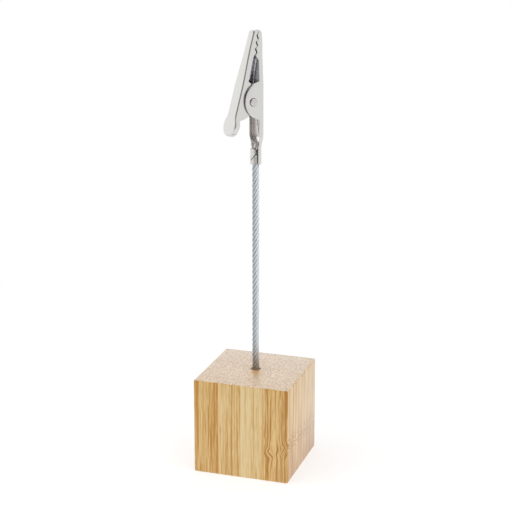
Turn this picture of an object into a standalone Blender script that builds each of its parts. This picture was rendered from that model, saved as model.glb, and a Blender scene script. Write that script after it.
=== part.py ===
# Desk memo clip: a laminated bamboo block, a wire rope stem and a sprung alligator clip.
# Metres, +Z up. The origin is the middle of the block's underside.
# The clip is drawn in its own frame: x across its depth, from the lever to the fixed jaw,
# y across its width, z up the rope from the crimp's lower end.

import math

import bmesh
import bpy
import numpy as np
from mathutils import Matrix, Vector

# Block
BLOCK_SIDE = 0.0300
BLOCK_HEIGHT = 0.0300
BLOCK_EDGE = 0.0006          # rounding of the milled edges
GLUE_LINES = (-0.00705, 0.0, 0.0075)   # where one stave meets the next, along x
SOCKET_DEPTH = 0.0180
SOCKET_FLOOR_GAP = 0.0003    # between the rope's end and the bottom of its hole

# Wire rope
STRAND_COUNT = 6
STRAND_DIAMETER = 0.00062
STRAND_GAP = 0.00007         # between neighbouring strands
ROPE_LAY = 0.0100            # length of one turn of a strand
STEM_LENGTH = 0.0644         # bare rope, from the block to the crimp
POINTS_PER_TURN = 9

# Adhesive in the socket
GLUE_WALL = 0.00028
GLUE_FIT = 0.00012           # between the adhesive and the rope, and the adhesive and the wood
GLUE_RECESS = 0.0004         # its top lies this far below the block's top
GLUE_FOOT_RISE = 0.0016      # its lower end lies this far above the bottom of the socket

# Pressed sheet of the clip
SHEET = 0.0004
BEND_RADIUS = 0.0005         # outer radius of a fold
BEND_STEPS = 8
LEAST_WALL = 0.00005         # straight run kept after a fold
NOSE_WIDTH = 0.0029          # both jaws are this wide at their teeth
NOSE_ROUND = 0.0009          # the rounded tips
NOSE_STEPS = 3
EAR_STEPS = 14               # rows over the round of an ear
WINDOW_STEPS = 4             # rows between an ear and the teeth
CLIP_TURN = math.radians(50) # the clip's turn about the stem

# Fixed jaw
CRIMP_FIT = 0.00015          # between the crimp and the rope
CRIMP_LENGTH = 0.0047
CRIMP_SEAM = 0.0003          # where the long wing comes round to the short one
CRIMP_SHORT_WING = math.radians(93)
CRIMP_LEAF = math.radians(240)         # reach of the long wing above its slit
CRIMP_LEAF_TOP = math.radians(200)     # and at its top
CRIMP_LEAF_ROUND = 0.0009    # height of the leaf's rounded corner
CRIMP_STEPS = 4              # rows over that corner, and over the blend above it
CRIMP_SLIT = 0.00022
CRIMP_SLIT_SLOPE = math.radians(31)
CRIMP_SLIT_RISE = 0.0021     # middle of the slit, from the crimp's lower end
CRIMP_FLAT = 0.00005         # half of the flat left on the back of the crimp
CRIMP_ROW_GAP = 0.00004      # height over which a wing's reach changes in one step
OPEN_WING = math.radians(105)          # where the wings end above the crimp
TAIL_BLEND = 0.0042          # where the round crimp opens into the channel
PIVOT_RISE = 0.0190          # from the crimp's lower end to the rivet
NOSE_REACH = 0.0203          # from the rivet to the tips
FIXED_WIDTH = 0.0060
FIXED_SPINE = 0.00098        # outer face of the spine, from the rope's axis
FIXED_BOW = 0.00062          # how far the spine bows out towards the teeth
FIXED_BOW_START = 0.0030     # above the rivet
FIXED_BOW_BACK = 0.00037     # how far it turns back in at the tips
FIXED_TAPER_START = 0.0047   # above the rivet
TAIL_WALL = 0.00153
WINDOW_WALL = 0.00163
WINDOW_POINT = 0.0014        # height of the pointed top of the opening below the teeth
FIXED_EAR_RADIUS = 0.00565
FIXED_EAR_INSET = 0.00063    # centre of the ear's arc, inside the spine's outer face
FIXED_EAR_RISE = 0.00025     # centre of the ear's arc, above the rivet
TAIL_HOLE_DIAMETER = 0.0019
TAIL_HOLE_RISE = 0.0072
ROPE_STICKOUT = 0.0022       # rope that stands out of the crimp, inside the tail
ROPE_END_LEAN = 0.00045      # how far that end leans from the spine

# Lever jaw
PIVOT_DEPTH = 0.00368        # from the fixed spine's outer face to the rivet
LEVER_DEPTH = 0.0044         # from the lever spine's outer face to the rivet
LEVER_TILT = math.radians(15.9)
SIDE_CLEARANCE = 0.0003      # between the lever's ears and the fixed jaw's
LEVER_WINDOW_WALL = 0.00175
LEVER_NOSE_SHARE = 0.6       # how much of the tip's rounding the lever's spine takes
LEVER_EAR_RADIUS = 0.0060
LEVER_EAR_DROP = 0.00035
LEVER_TAPER = (0.0020, 0.0160)         # the taper's start and end, above the rivet
PAD_WIDTH = 0.0067
PAD_START = 0.0048           # below the rivet, along the lever
PAD_END = 0.0113
PAD_SKIRT = 0.0017
PAD_STEPS = 6                # rows fanned round the pad's end

# Teeth
TOOTH_COUNT = 3
TOOTH_PITCH = 0.00195
TOOTH_DEPTH = 0.00066
TOOTH_LONG_SHARE = 0.65      # share of the pitch that the long flank takes
TEETH_DROP = 0.0012          # first tooth, below the tips
PARTING_OFFSET = 0.0003      # the teeth's middle line at the first tooth, from the rope's axis
PARTING_LEAN = 0.13
BITE_GAP = 0.0003            # between the closed teeth
BITE_SHIFT = 0.00012         # the fixed teeth sit this much higher than the lever's notches

# Rivet
RIVET_DIAMETER = 0.0015
RIVET_HEAD_DIAMETER = 0.0023
RIVET_HEAD_HEIGHT = 0.0004
RIVET_CLEARANCE = 0.00012

# Torsion spring
SPRING_WIRE = 0.0006
SPRING_COIL_DIAMETER = 0.0029          # to the middle of the wire
SPRING_PITCH = 0.0011
SPRING_TURNS = 2
SPRING_SEAT_GAP = 0.00015    # between a leg and the spine that it presses on
SPRING_TAIL_LEG = 0.0101     # the leg on the fixed jaw, below the rivet
SPRING_PAD_LEG = 0.0088      # the leg on the lever, along it
SPRING_POINTS = 10           # points in one turn

# Sizes that follow
SPACING = STRAND_DIAMETER + STRAND_GAP
STRAND_CIRCLE = SPACING / math.sqrt(1 - (2 * math.pi * SPACING / ROPE_LAY) ** 2)
ROPE_RADIUS = STRAND_CIRCLE + STRAND_DIAMETER / 2
CORE_RADIUS = STRAND_CIRCLE - STRAND_DIAMETER / 2 - STRAND_GAP
GLUE_BORE = ROPE_RADIUS + GLUE_FIT
GLUE_RADIUS = GLUE_BORE + GLUE_WALL
SOCKET_RADIUS = GLUE_RADIUS + GLUE_FIT
CLIP_BASE = BLOCK_HEIGHT + STEM_LENGTH
CRIMP_RADIUS = ROPE_RADIUS + CRIMP_FIT + SHEET
CHANNEL_RISE = CRIMP_LENGTH + TAIL_BLEND
TIP_RISE = PIVOT_RISE + NOSE_REACH
PIVOT_X = FIXED_SPINE - PIVOT_DEPTH
LEVER_WIDTH = FIXED_WIDTH - 2 * SHEET - 2 * SIDE_CLEARANCE
TEETH_TOP = TIP_RISE - TEETH_DROP
TEETH_FOOT = TEETH_TOP - TOOTH_COUNT * TOOTH_PITCH
FIXED_EAR_X = FIXED_SPINE - FIXED_EAR_INSET
FIXED_EAR_Z = PIVOT_RISE + FIXED_EAR_RISE
FIXED_EAR_TOP = FIXED_EAR_Z + FIXED_EAR_RADIUS
SOCKET_FLOOR = BLOCK_HEIGHT - SOCKET_DEPTH
ROPE_TOP = CLIP_BASE + CRIMP_LENGTH + ROPE_STICKOUT


def clear_scene():
    for thing in list(bpy.data.objects):
        bpy.data.objects.remove(thing, do_unlink=True)


def material(name, colour, roughness, metallic=0.0):
    made = bpy.data.materials.new(name)
    made.use_nodes = True
    shader = made.node_tree.nodes["Principled BSDF"]
    shader.inputs["Base Color"].default_value = (*colour, 1.0)
    shader.inputs["Roughness"].default_value = roughness
    shader.inputs["Metallic"].default_value = metallic
    return made


def place(name, data, finish, parent=None):
    thing = bpy.data.objects.new(name, data)
    bpy.context.scene.collection.objects.link(thing)
    thing.parent = parent
    if finish is not None:
        data.materials.append(finish)
    return thing


def frame(name, location, turn_z=0.0, parent=None):
    empty = place(name, None, None, parent)
    empty.location = location
    empty.rotation_euler = (0.0, 0.0, turn_z)
    return empty


def mesh_from(bm, name, smooth_angle=None):
    bmesh.ops.remove_doubles(bm, verts=bm.verts, dist=1e-6)
    bmesh.ops.recalc_face_normals(bm, faces=bm.faces)
    if bm.calc_volume(signed=True) < 0:
        bmesh.ops.reverse_faces(bm, faces=bm.faces)
    mesh = bpy.data.meshes.new(name)
    bm.to_mesh(mesh)
    bm.free()
    if smooth_angle is not None:
        mesh.shade_smooth()
        mesh.set_sharp_from_angle(angle=smooth_angle)
    return mesh


def ease(start, end, value):
    """0 before start, 1 after end, with a smooth rise between."""
    share = min(max((value - start) / (end - start), 0.0), 1.0)
    return share * share * (3 - 2 * share)


def blend(first, second, share):
    return first + (second - first) * share


def turned(name, profile, segments):
    """A solid turned about z from (radius, height) points, each end on the axis or a bore."""
    bm = bmesh.new()
    closed = profile[0][0] > 0
    rings = []
    for step in range(segments):
        angle = 2 * math.pi * (step + 0.5) / segments
        ring = [bm.verts.new((r * math.cos(angle), r * math.sin(angle), z)) for r, z in profile]
        rings.append(ring)
    last = len(profile) if closed else len(profile) - 1
    for step in range(segments):
        here = rings[step]
        there = rings[(step + 1) % segments]
        for row in range(last):
            up = (row + 1) % len(profile)
            bm.faces.new((here[row], there[row], there[up], here[up]))
    return mesh_from(bm, name, math.radians(40))


def cutter(name, radius, length, location, rotation, parent=None, segments=24):
    """A cylinder that Boolean modifiers subtract, centred on its location."""
    profile = [(0.0, -length / 2), (radius, -length / 2), (radius, length / 2), (0.0, length / 2)]
    thing = place(name, turned(name, profile, segments), None, parent)
    thing.location = location
    thing.rotation_euler = rotation
    thing.hide_render = True
    thing.display_type = "WIRE"
    return thing


def cut(thing, tool):
    step = thing.modifiers.new("cut_" + tool.name, "BOOLEAN")
    step.operation = "DIFFERENCE"
    step.solver = "EXACT"
    step.object = tool


def even_shading(thing):
    """Keeps flat walls flat looking round a hole that was cut in them."""
    step = thing.modifiers.new("even_shading", "WEIGHTED_NORMAL")
    step.weight = 100
    step.keep_sharp = True


def tube(name, points, diameter, finish, parent=None):
    """A round wire along points, six-sided, with flat ends."""
    curve = bpy.data.curves.new(name, "CURVE")
    curve.dimensions = "3D"
    curve.bevel_depth = diameter / 2
    curve.bevel_resolution = 1
    curve.use_fill_caps = True
    spline = curve.splines.new("POLY")
    spline.points.add(len(points) - 1)
    for point, place_at in zip(spline.points, points):
        point.co = (*place_at, 1.0)
    spline.use_smooth = True
    return place(name, curve, finish, parent)


def rounded_block():
    """The whole block before it is split along its glue lines."""
    bm = bmesh.new()
    bmesh.ops.create_cube(bm, size=1.0)
    bmesh.ops.scale(bm, vec=(BLOCK_SIDE, BLOCK_SIDE, BLOCK_HEIGHT), verts=bm.verts)
    bmesh.ops.translate(bm, vec=(0.0, 0.0, BLOCK_HEIGHT / 2), verts=bm.verts)
    bmesh.ops.bevel(bm, geom=list(bm.edges), offset=BLOCK_EDGE, segments=2, profile=0.5,
                    affect="EDGES")
    return bm


def keep_side(bm, x, keep_right):
    """Cuts the block at x, drops one side and closes the cut with one flat face."""
    normal = (-1.0, 0.0, 0.0) if keep_right else (1.0, 0.0, 0.0)
    geometry = list(bm.verts) + list(bm.edges) + list(bm.faces)
    result = bmesh.ops.bisect_plane(bm, geom=geometry, dist=1e-7, plane_co=(x, 0.0, 0.0),
                                    plane_no=normal, clear_outer=True)
    rim = [item for item in result["geom_cut"] if isinstance(item, bmesh.types.BMEdge)]
    for item in result["geom_cut"]:
        if isinstance(item, bmesh.types.BMVert):
            item.co.x = x
    bmesh.ops.contextual_create(bm, geom=rim)


def make_block(finishes):
    tool = cutter("socket_cutter", SOCKET_RADIUS, 2 * SOCKET_DEPTH, (0.0, 0.0, BLOCK_HEIGHT),
                  (0.0, 0.0, 0.0), segments=32)
    edges = [None, *GLUE_LINES, None]
    for number in range(len(edges) - 1):
        left, right = edges[number], edges[number + 1]
        bm = rounded_block()
        if left is not None:
            keep_side(bm, left, True)
        if right is not None:
            keep_side(bm, right, False)
        name = "bamboo_stave_%d" % (number + 1)
        stave = place(name, mesh_from(bm, name), finishes[number])
        reach_left = left is None or left < SOCKET_RADIUS
        reach_right = right is None or right > -SOCKET_RADIUS
        if reach_left and reach_right:
            cut(stave, tool)


def stem_centre(z):
    """Middle of the rope at height z: straight up, then leaning from the spine at its end."""
    start = CLIP_BASE + CRIMP_LENGTH
    lean = ROPE_END_LEAN * ease(start, start + 2 * ROPE_STICKOUT, z) * 2
    return Vector((-lean * math.cos(CLIP_TURN), -lean * math.sin(CLIP_TURN), z))


def make_rope(finish):
    foot = SOCKET_FLOOR + SOCKET_FLOOR_GAP
    turns = (ROPE_TOP - foot) / ROPE_LAY
    count = math.ceil(turns * POINTS_PER_TURN)
    heights = [blend(foot, ROPE_TOP, step / count) for step in range(count + 1)]
    for number in range(STRAND_COUNT):
        points = []
        for z in heights:
            angle = 2 * math.pi * ((z - foot) / ROPE_LAY + number / STRAND_COUNT)
            points.append(stem_centre(z) + Matrix.Rotation(angle, 3, "Z") @ Vector((STRAND_CIRCLE, 0, 0)))
        tube("rope_strand_%d" % (number + 1), points, STRAND_DIAMETER, finish)
    bend_foot = CLIP_BASE + CRIMP_LENGTH
    core = [stem_centre(foot), stem_centre(bend_foot)]
    core += [stem_centre(blend(bend_foot, ROPE_TOP, step / 3)) for step in (1, 2, 3)]
    tube("core_strand", core, 2 * CORE_RADIUS, finish)


def make_glue(finish):
    top = BLOCK_HEIGHT - GLUE_RECESS
    foot = SOCKET_FLOOR + GLUE_FOOT_RISE
    profile = [(GLUE_BORE, foot), (GLUE_RADIUS, foot), (GLUE_RADIUS, top), (GLUE_BORE, top)]
    place("stem_glue", turned("stem_glue", profile, 32), finish)


def half_section(spine, half_width, bend, sweep, wall, inset):
    """Half a section of bent sheet, from the middle of its spine to its free edge.

    Points are (depth, width). The fold turns through sweep, then the wall runs on straight.
    """
    spine -= inset
    half_width -= inset
    bend -= inset
    points = [(spine, 0.0)]
    for step in range(BEND_STEPS + 1):
        angle = sweep * step / BEND_STEPS
        points.append((spine - bend + bend * math.cos(angle), half_width - bend + bend * math.sin(angle)))
    depth, width = points[-1]
    points.append((depth - wall * math.sin(sweep), width + wall * math.cos(sweep)))
    return points


def pressed_sheet(name, outer, inner, closed_end, smooth_angle):
    """A solid between two skins of the same rows and columns, with its edges closed.

    With closed_end the last row is a fold that meets itself, so it has no edge.
    """
    bm = bmesh.new()
    skins = [[[bm.verts.new(point) for point in row] for row in skin] for skin in (outer, inner)]
    rows = len(outer)
    columns = len(outer[0])

    def panel(a, b, c, d):
        corners = list(dict.fromkeys((a, b, c, d)))
        bm.faces.new(corners)

    for skin in skins:
        for row in range(rows - 1):
            for column in range(columns - 1):
                panel(skin[row][column], skin[row][column + 1], skin[row + 1][column + 1],
                      skin[row + 1][column])
    out, back = skins
    for row in range(rows - 1):
        for column in (0, columns - 1):
            panel(out[row][column], out[row + 1][column], back[row + 1][column], back[row][column])
    for row in ((0,) if closed_end else (0, rows - 1)):
        for column in range(columns - 1):
            panel(out[row][column], out[row][column + 1], back[row][column + 1], back[row][column])
    return mesh_from(bm, name, smooth_angle)


def parting(side):
    """Corners of one jaw's toothed edge as (x, z), from above the tips down to the window.

    The side is 1 for the fixed jaw and -1 for the lever.
    """
    levels = [(TEETH_TOP + TOOTH_PITCH, -TOOTH_DEPTH / 2),
              (TEETH_TOP + (1 - TOOTH_LONG_SHARE) * TOOTH_PITCH, TOOTH_DEPTH / 2)]
    for tooth in range(TOOTH_COUNT):
        top = TEETH_TOP - tooth * TOOTH_PITCH
        levels.append((top, -TOOTH_DEPTH / 2))
        levels.append((top - TOOTH_LONG_SHARE * TOOTH_PITCH, TOOTH_DEPTH / 2))
    levels.append((TEETH_FOOT, -TOOTH_DEPTH / 2))
    corners = []
    for z, zigzag in levels:
        middle = -PARTING_OFFSET - PARTING_LEAN * (TEETH_TOP - z)
        corners.append((middle + zigzag + side * BITE_GAP / 2, z + side * BITE_SHIFT / 2))
    return corners


def nose_round(below_tip):
    """How far a rounded tip draws in at a distance below its top."""
    if below_tip >= NOSE_ROUND:
        return 0.0
    return NOSE_ROUND - math.sqrt(NOSE_ROUND ** 2 - (NOSE_ROUND - below_tip) ** 2)


def nose_levels():
    """Distances below the top of a tip, for the rows over its rounding."""
    return [NOSE_ROUND * (1 - math.cos(math.pi / 2 * step / NOSE_STEPS)) for step in range(NOSE_STEPS)]


def fixed_spine(z):
    """Outer face of the fixed jaw's spine at height z."""
    if z < CHANNEL_RISE:
        return blend(CRIMP_RADIUS, FIXED_SPINE, ease(CRIMP_LENGTH, CHANNEL_RISE, z))
    top = TEETH_FOOT + TOOTH_PITCH
    bow = FIXED_BOW * ease(PIVOT_RISE + FIXED_BOW_START, top, z)
    if z > top:
        bow -= FIXED_BOW_BACK * ((z - top) / (TIP_RISE - top)) ** 2
    return FIXED_SPINE + bow - nose_round(TIP_RISE - z)


def fixed_half_width(z):
    if z < CHANNEL_RISE:
        return blend(CRIMP_RADIUS + CRIMP_FLAT, FIXED_WIDTH / 2, ease(CRIMP_LENGTH, CHANNEL_RISE, z))
    taper_start = PIVOT_RISE + FIXED_TAPER_START
    share = min(max((z - taper_start) / (TEETH_FOOT - taper_start), 0.0), 1.0)
    return blend(FIXED_WIDTH, NOSE_WIDTH, share) / 2 - nose_round(TIP_RISE - z) / 3


def fixed_edge(z):
    """Free edge of the fixed jaw's side walls at height z."""
    wall = TAIL_WALL
    if z > FIXED_EAR_Z:
        wall = WINDOW_WALL
    edge = fixed_spine(z) - wall
    if z < CHANNEL_RISE:
        edge = FIXED_SPINE - TAIL_WALL
    drop = abs(z - FIXED_EAR_Z)
    if drop < FIXED_EAR_RADIUS:
        edge = min(edge, FIXED_EAR_X - math.sqrt(FIXED_EAR_RADIUS ** 2 - drop ** 2))
    corners = parting(1)[::-1]
    window_top = TEETH_FOOT - WINDOW_POINT
    if z > window_top:
        corners = [(fixed_spine(window_top) - WINDOW_WALL, window_top)] + corners
        edge = float(np.interp(z, [c[1] for c in corners], [c[0] for c in corners]))
    return edge


def slit_end():
    """Height of the slit's upper end, where the leaf starts."""
    return CRIMP_SLIT_RISE + CRIMP_RADIUS * math.tan(CRIMP_SLIT_SLOPE) / 2


def crimp_sweeps(z):
    """How far the near and the far wing wrap round the rope at height z, in radians.

    The far wing comes right round to the near one. Above its slit it ends in a rounded leaf.
    """
    full = 2 * math.pi - CRIMP_SEAM / (CRIMP_RADIUS - SHEET) - CRIMP_SHORT_WING
    if z > CRIMP_LENGTH:
        return CRIMP_SHORT_WING, OPEN_WING
    if z < slit_end():
        return CRIMP_SHORT_WING, full
    rounding = max(z - CRIMP_LENGTH + CRIMP_LEAF_ROUND, 0.0) / CRIMP_LEAF_ROUND
    return CRIMP_SHORT_WING, blend(CRIMP_LEAF, CRIMP_LEAF_TOP, rounding ** 2)


def fixed_rows(inset):
    """Rows of points over the fixed jaw's skin, from its tips down to the crimp's end."""
    levels = [TIP_RISE - below for below in nose_levels()]
    levels += [z for _, z in parting(1)[1:]]
    window_top = TEETH_FOOT - WINDOW_POINT
    levels += [blend(window_top, FIXED_EAR_TOP, step / WINDOW_STEPS) for step in range(WINDOW_STEPS)]
    ear_half_angle = math.acos((TAIL_WALL - FIXED_EAR_INSET) / FIXED_EAR_RADIUS)
    for step in range(EAR_STEPS + 1):
        angle = blend(ear_half_angle, -ear_half_angle, step / EAR_STEPS)
        levels.append(FIXED_EAR_Z + FIXED_EAR_RADIUS * math.sin(angle))
    levels.append((FIXED_EAR_Z - FIXED_EAR_RADIUS + CHANNEL_RISE) / 2)
    steps = CRIMP_STEPS + 1
    levels += [blend(CHANNEL_RISE, CRIMP_LENGTH, step / steps) for step in range(steps)]
    levels += [CRIMP_LENGTH + CRIMP_ROW_GAP, slit_end() + CRIMP_ROW_GAP, slit_end() - CRIMP_ROW_GAP]
    for step in range(CRIMP_STEPS + 1):
        levels.append(CRIMP_LENGTH - CRIMP_LEAF_ROUND * (step / CRIMP_STEPS) ** 2)
    levels += [slit_end() / 2, 0.0]
    rows = []
    for z in sorted(levels, reverse=True):
        spine = fixed_spine(z)
        half_width = fixed_half_width(z)
        crimped = 1 - ease(CRIMP_LENGTH, CHANNEL_RISE, z)
        bend = blend(BEND_RADIUS, CRIMP_RADIUS, crimped)
        halves = []
        for wing in crimp_sweeps(z):
            sweep = wing
            wall = LEAST_WALL
            if z > CRIMP_LENGTH:
                sweep = blend(math.pi / 2, wing, crimped)
                reach = spine - bend + bend * math.cos(sweep) - fixed_edge(z)
                wall = max(reach / math.sin(sweep), LEAST_WALL)
            halves.append(half_section(spine, half_width, bend, sweep, wall, inset))
        near, far = halves
        row = [(x, width, z) for x, width in reversed(far)]
        row += [(x, -width, z) for x, width in near[1:]]
        rows.append(row)
    return rows


def lever_point(x, z):
    """A point of the clip's frame, in the lever's frame: (depth, distance below the rivet)."""
    side, rise = x - PIVOT_X, z - PIVOT_RISE
    depth = side * math.cos(LEVER_TILT) - rise * math.sin(LEVER_TILT)
    below = -side * math.sin(LEVER_TILT) - rise * math.cos(LEVER_TILT)
    return depth, below


def lever_top():
    """Distance of the lever's tip from the rivet, level with the fixed jaw's tip."""
    return (NOSE_REACH - LEVER_DEPTH * math.sin(LEVER_TILT)) / math.cos(LEVER_TILT)


def lever_half_width(below):
    half = blend(LEVER_WIDTH, NOSE_WIDTH, ease(*LEVER_TAPER, -below)) / 2
    half += (PAD_WIDTH - LEVER_WIDTH) / 2 * ease(PAD_START, PAD_END - PAD_WIDTH / 2, below)
    return half - nose_round(lever_top() + below) / 3


def lever_edge(below):
    """Free edge of the lever's side walls, as a depth from the rivet."""
    wall = LEVER_WINDOW_WALL if below < 0 else PAD_SKIRT
    edge = wall - LEVER_DEPTH
    drop = abs(below - LEVER_EAR_DROP)
    if drop < LEVER_EAR_RADIUS:
        edge = max(edge, math.sqrt(LEVER_EAR_RADIUS ** 2 - drop ** 2) - LEVER_DEPTH)
    corners = [lever_point(*corner) for corner in parting(-1)]
    window_top = corners[-1][1] + WINDOW_POINT
    if below < window_top:
        corners.append((LEVER_WINDOW_WALL - LEVER_DEPTH, window_top))
        edge = float(np.interp(below, [c[1] for c in corners], [c[0] for c in corners]))
    return edge


def lever_rows(inset):
    """Rows of points over the lever's skin, from its tip down and round the end of its pad."""
    top = lever_top()
    levels = [below - top for below in nose_levels()]
    corners = [lever_point(*corner)[1] for corner in parting(-1)[1:]]
    levels += corners
    window_top = corners[-1] + WINDOW_POINT
    ear_top = LEVER_EAR_DROP - LEVER_EAR_RADIUS
    levels += [blend(window_top, ear_top, step / WINDOW_STEPS) for step in range(WINDOW_STEPS)]
    upper_angle = math.acos(LEVER_WINDOW_WALL / LEVER_EAR_RADIUS)
    lower_angle = math.acos(PAD_SKIRT / LEVER_EAR_RADIUS)
    for step in range(EAR_STEPS + 1):
        angle = blend(-upper_angle, lower_angle, step / EAR_STEPS)
        levels.append(LEVER_EAR_DROP + LEVER_EAR_RADIUS * math.sin(angle))
    pad_middle = PAD_END - PAD_WIDTH / 2
    ear_foot = LEVER_EAR_DROP + LEVER_EAR_RADIUS
    levels += [blend(ear_foot, pad_middle, step / 3) for step in range(1, 4)]
    rows = []
    for below in sorted(levels):
        spine = LEVER_DEPTH - LEVER_NOSE_SHARE * nose_round(top + below)
        wall = max(lever_edge(below) + spine - BEND_RADIUS, LEAST_WALL)
        half = half_section(spine, lever_half_width(below), BEND_RADIUS, math.pi / 2, wall, inset)
        row = [(-depth, width, -below) for depth, width in reversed(half)]
        row += [(-depth, -width, -below) for depth, width in half[1:]]
        rows.append(row)
    wall = PAD_SKIRT - BEND_RADIUS
    half = half_section(LEVER_DEPTH, PAD_WIDTH / 2, BEND_RADIUS, math.pi / 2, wall, inset)
    for step in range(1, PAD_STEPS + 1):
        angle = math.pi / 2 * step / PAD_STEPS
        fan = []
        for side in (1, -1):
            arm = half if side == -1 else half[::-1]
            for depth, reach in arm:
                below = pad_middle + reach * math.sin(angle)
                fan.append((-depth, side * reach * math.cos(angle), -below))
        del fan[len(half)]
        rows.append(fan)
    return rows


def slit_cutter(clip):
    """A thin plate that cuts the long wing of the crimp across its front, up to the near side."""
    bm = bmesh.new()
    bmesh.ops.create_cube(bm, size=1.0)
    bmesh.ops.scale(bm, vec=(CRIMP_RADIUS, 2 * CRIMP_RADIUS, CRIMP_SLIT), verts=bm.verts)
    thing = place("slit_cutter", mesh_from(bm, "slit_cutter"), None, clip)
    thing.location = (-0.7 * CRIMP_RADIUS, -CRIMP_RADIUS / 2, CRIMP_SLIT_RISE)
    thing.rotation_euler = (-CRIMP_SLIT_SLOPE, 0.0, 0.0)
    thing.hide_render = True
    thing.display_type = "WIRE"
    return thing


def make_jaws(finish, clip):
    smooth = math.radians(35)
    bore = cutter("rivet_bore_cutter", RIVET_DIAMETER / 2 + RIVET_CLEARANCE, 2 * FIXED_WIDTH,
                  (PIVOT_X, 0.0, PIVOT_RISE), (math.pi / 2, 0.0, 0.0), clip)
    tail_hole = cutter("tail_hole_cutter", TAIL_HOLE_DIAMETER / 2, 2 * SHEET + CRIMP_RADIUS,
                       (fixed_spine(TAIL_HOLE_RISE), 0.0, TAIL_HOLE_RISE), (0.0, math.pi / 2, 0.0), clip)
    slit = slit_cutter(clip)
    sheet = pressed_sheet("fixed_jaw", fixed_rows(0.0), fixed_rows(SHEET), False, smooth)
    fixed = place("fixed_jaw", sheet, finish, clip)
    for tool in (bore, tail_hole, slit):
        cut(fixed, tool)
    even_shading(fixed)
    sheet = pressed_sheet("lever_jaw", lever_rows(0.0), lever_rows(SHEET), True, smooth)
    lever = place("lever_jaw", sheet, finish, clip)
    lever.location = (PIVOT_X, 0.0, PIVOT_RISE)
    lever.rotation_euler = (0.0, LEVER_TILT, 0.0)
    cut(lever, bore)
    even_shading(lever)


def make_rivet(finish, clip):
    face = FIXED_WIDTH / 2
    shank = RIVET_DIAMETER / 2
    head = RIVET_HEAD_DIAMETER / 2
    rim = RIVET_HEAD_HEIGHT * 0.5
    top = face + RIVET_HEAD_HEIGHT
    upper = [(shank, face), (head, face), (head, top - rim), (head - 0.3 * rim, top - 0.3 * rim),
             (head - rim, top), (0.0, top)]
    lower = [(radius, -height) for radius, height in reversed(upper)]
    rivet = place("jaw_rivet", turned("jaw_rivet", lower + upper, 24), finish, clip)
    rivet.location = (PIVOT_X, 0.0, PIVOT_RISE)
    rivet.rotation_euler = (math.pi / 2, 0.0, 0.0)


def tangent_angle(foot, radius, leaving):
    """Angle on the coil where a straight leg from foot touches it."""
    away = math.atan2(foot[1], foot[0])
    spread = math.acos(radius / math.hypot(*foot))
    return away - spread if leaving else away + spread


def spring_path():
    """The spring's middle line about the rivet: up one leg, round the coil, down the other."""
    radius = SPRING_COIL_DIAMETER / 2
    seat = SHEET + SPRING_SEAT_GAP + SPRING_WIRE / 2
    tail_foot = (PIVOT_DEPTH - seat, -SPRING_TAIL_LEG)
    depth = seat - LEVER_DEPTH
    cos, sin = math.cos(LEVER_TILT), math.sin(LEVER_TILT)
    pad_foot = (depth * cos - SPRING_PAD_LEG * sin, -depth * sin - SPRING_PAD_LEG * cos)
    start = tangent_angle(tail_foot, radius, False)
    end = tangent_angle(pad_foot, radius, True)
    while end < start:
        end += 2 * math.pi
    end += 2 * math.pi * SPRING_TURNS
    turns = (end - start) / (2 * math.pi)
    side = turns * SPRING_PITCH / 2
    count = math.ceil(turns * SPRING_POINTS)
    coil = []
    for step in range(count + 1):
        angle = blend(start, end, step / count)
        y = blend(-side, side, step / count)
        coil.append(Vector((radius * math.cos(angle), y, radius * math.sin(angle))))
    first = Vector((tail_foot[0], -side, tail_foot[1]))
    last = Vector((pad_foot[0], side, pad_foot[1]))
    leg_in = [first.lerp(coil[0], share) for share in (0.0, 0.5, 0.9)]
    leg_out = [coil[-1].lerp(last, share) for share in (0.1, 0.5, 1.0)]
    return leg_in + coil + leg_out


def least_gap(path, wire):
    """Least gap between turns: points of the path that lie over half a turn apart along it."""
    along = [0.0]
    for here, there in zip(path, path[1:]):
        along.append(along[-1] + (there - here).length)
    apart = math.pi * SPRING_COIL_DIAMETER / 2
    gaps = [(a - b).length - wire for i, a in enumerate(path) for j, b in enumerate(path)
            if along[j] - along[i] > apart]
    return min(gaps)


def make_spring(finish, clip):
    path = spring_path()
    spring = tube("torsion_spring", path, SPRING_WIRE, finish, clip)
    spring.location = (PIVOT_X, 0.0, PIVOT_RISE)
    print("torsion_spring least gap between turns, mm: %.3f" % (least_gap(path, SPRING_WIRE) * 1000))


def build():
    clear_scene()
    staves = [material("bamboo_dark", (0.62, 0.36, 0.17), 0.55),
              material("bamboo_streaked", (0.72, 0.50, 0.27), 0.55),
              material("bamboo_pale", (0.80, 0.60, 0.36), 0.55),
              material("bamboo_node", (0.75, 0.53, 0.29), 0.55)]
    nickel = material("nickel_plate", (0.74, 0.73, 0.71), 0.28, 1.0)
    steel_rope = material("rope_steel", (0.62, 0.65, 0.68), 0.38, 1.0)
    spring_steel = material("spring_steel", (0.55, 0.55, 0.56), 0.35, 1.0)
    adhesive = material("cured_adhesive", (0.42, 0.29, 0.16), 0.25)
    make_block(staves)
    make_glue(adhesive)
    make_rope(steel_rope)
    clip = frame("clip_frame", (0.0, 0.0, CLIP_BASE), CLIP_TURN)
    make_jaws(nickel, clip)
    make_rivet(nickel, clip)
    make_spring(spring_steel, clip)


build()
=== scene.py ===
# %% [markdown]
# # A desk memo clip
#
# A block of laminated bamboo, a thin wire rope and a small sprung clip of nickel-plated sheet.
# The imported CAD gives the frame: it says where every piece is and how the lever turns. The looks
# are built round it here, piece by piece, each in its own short cell.

from math import acos, atan2, ceil, cos, hypot, pi, radians, sin, sqrt, tan

import bmesh
import bpy
import numpy as np
from mathutils import Matrix, Vector


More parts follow.
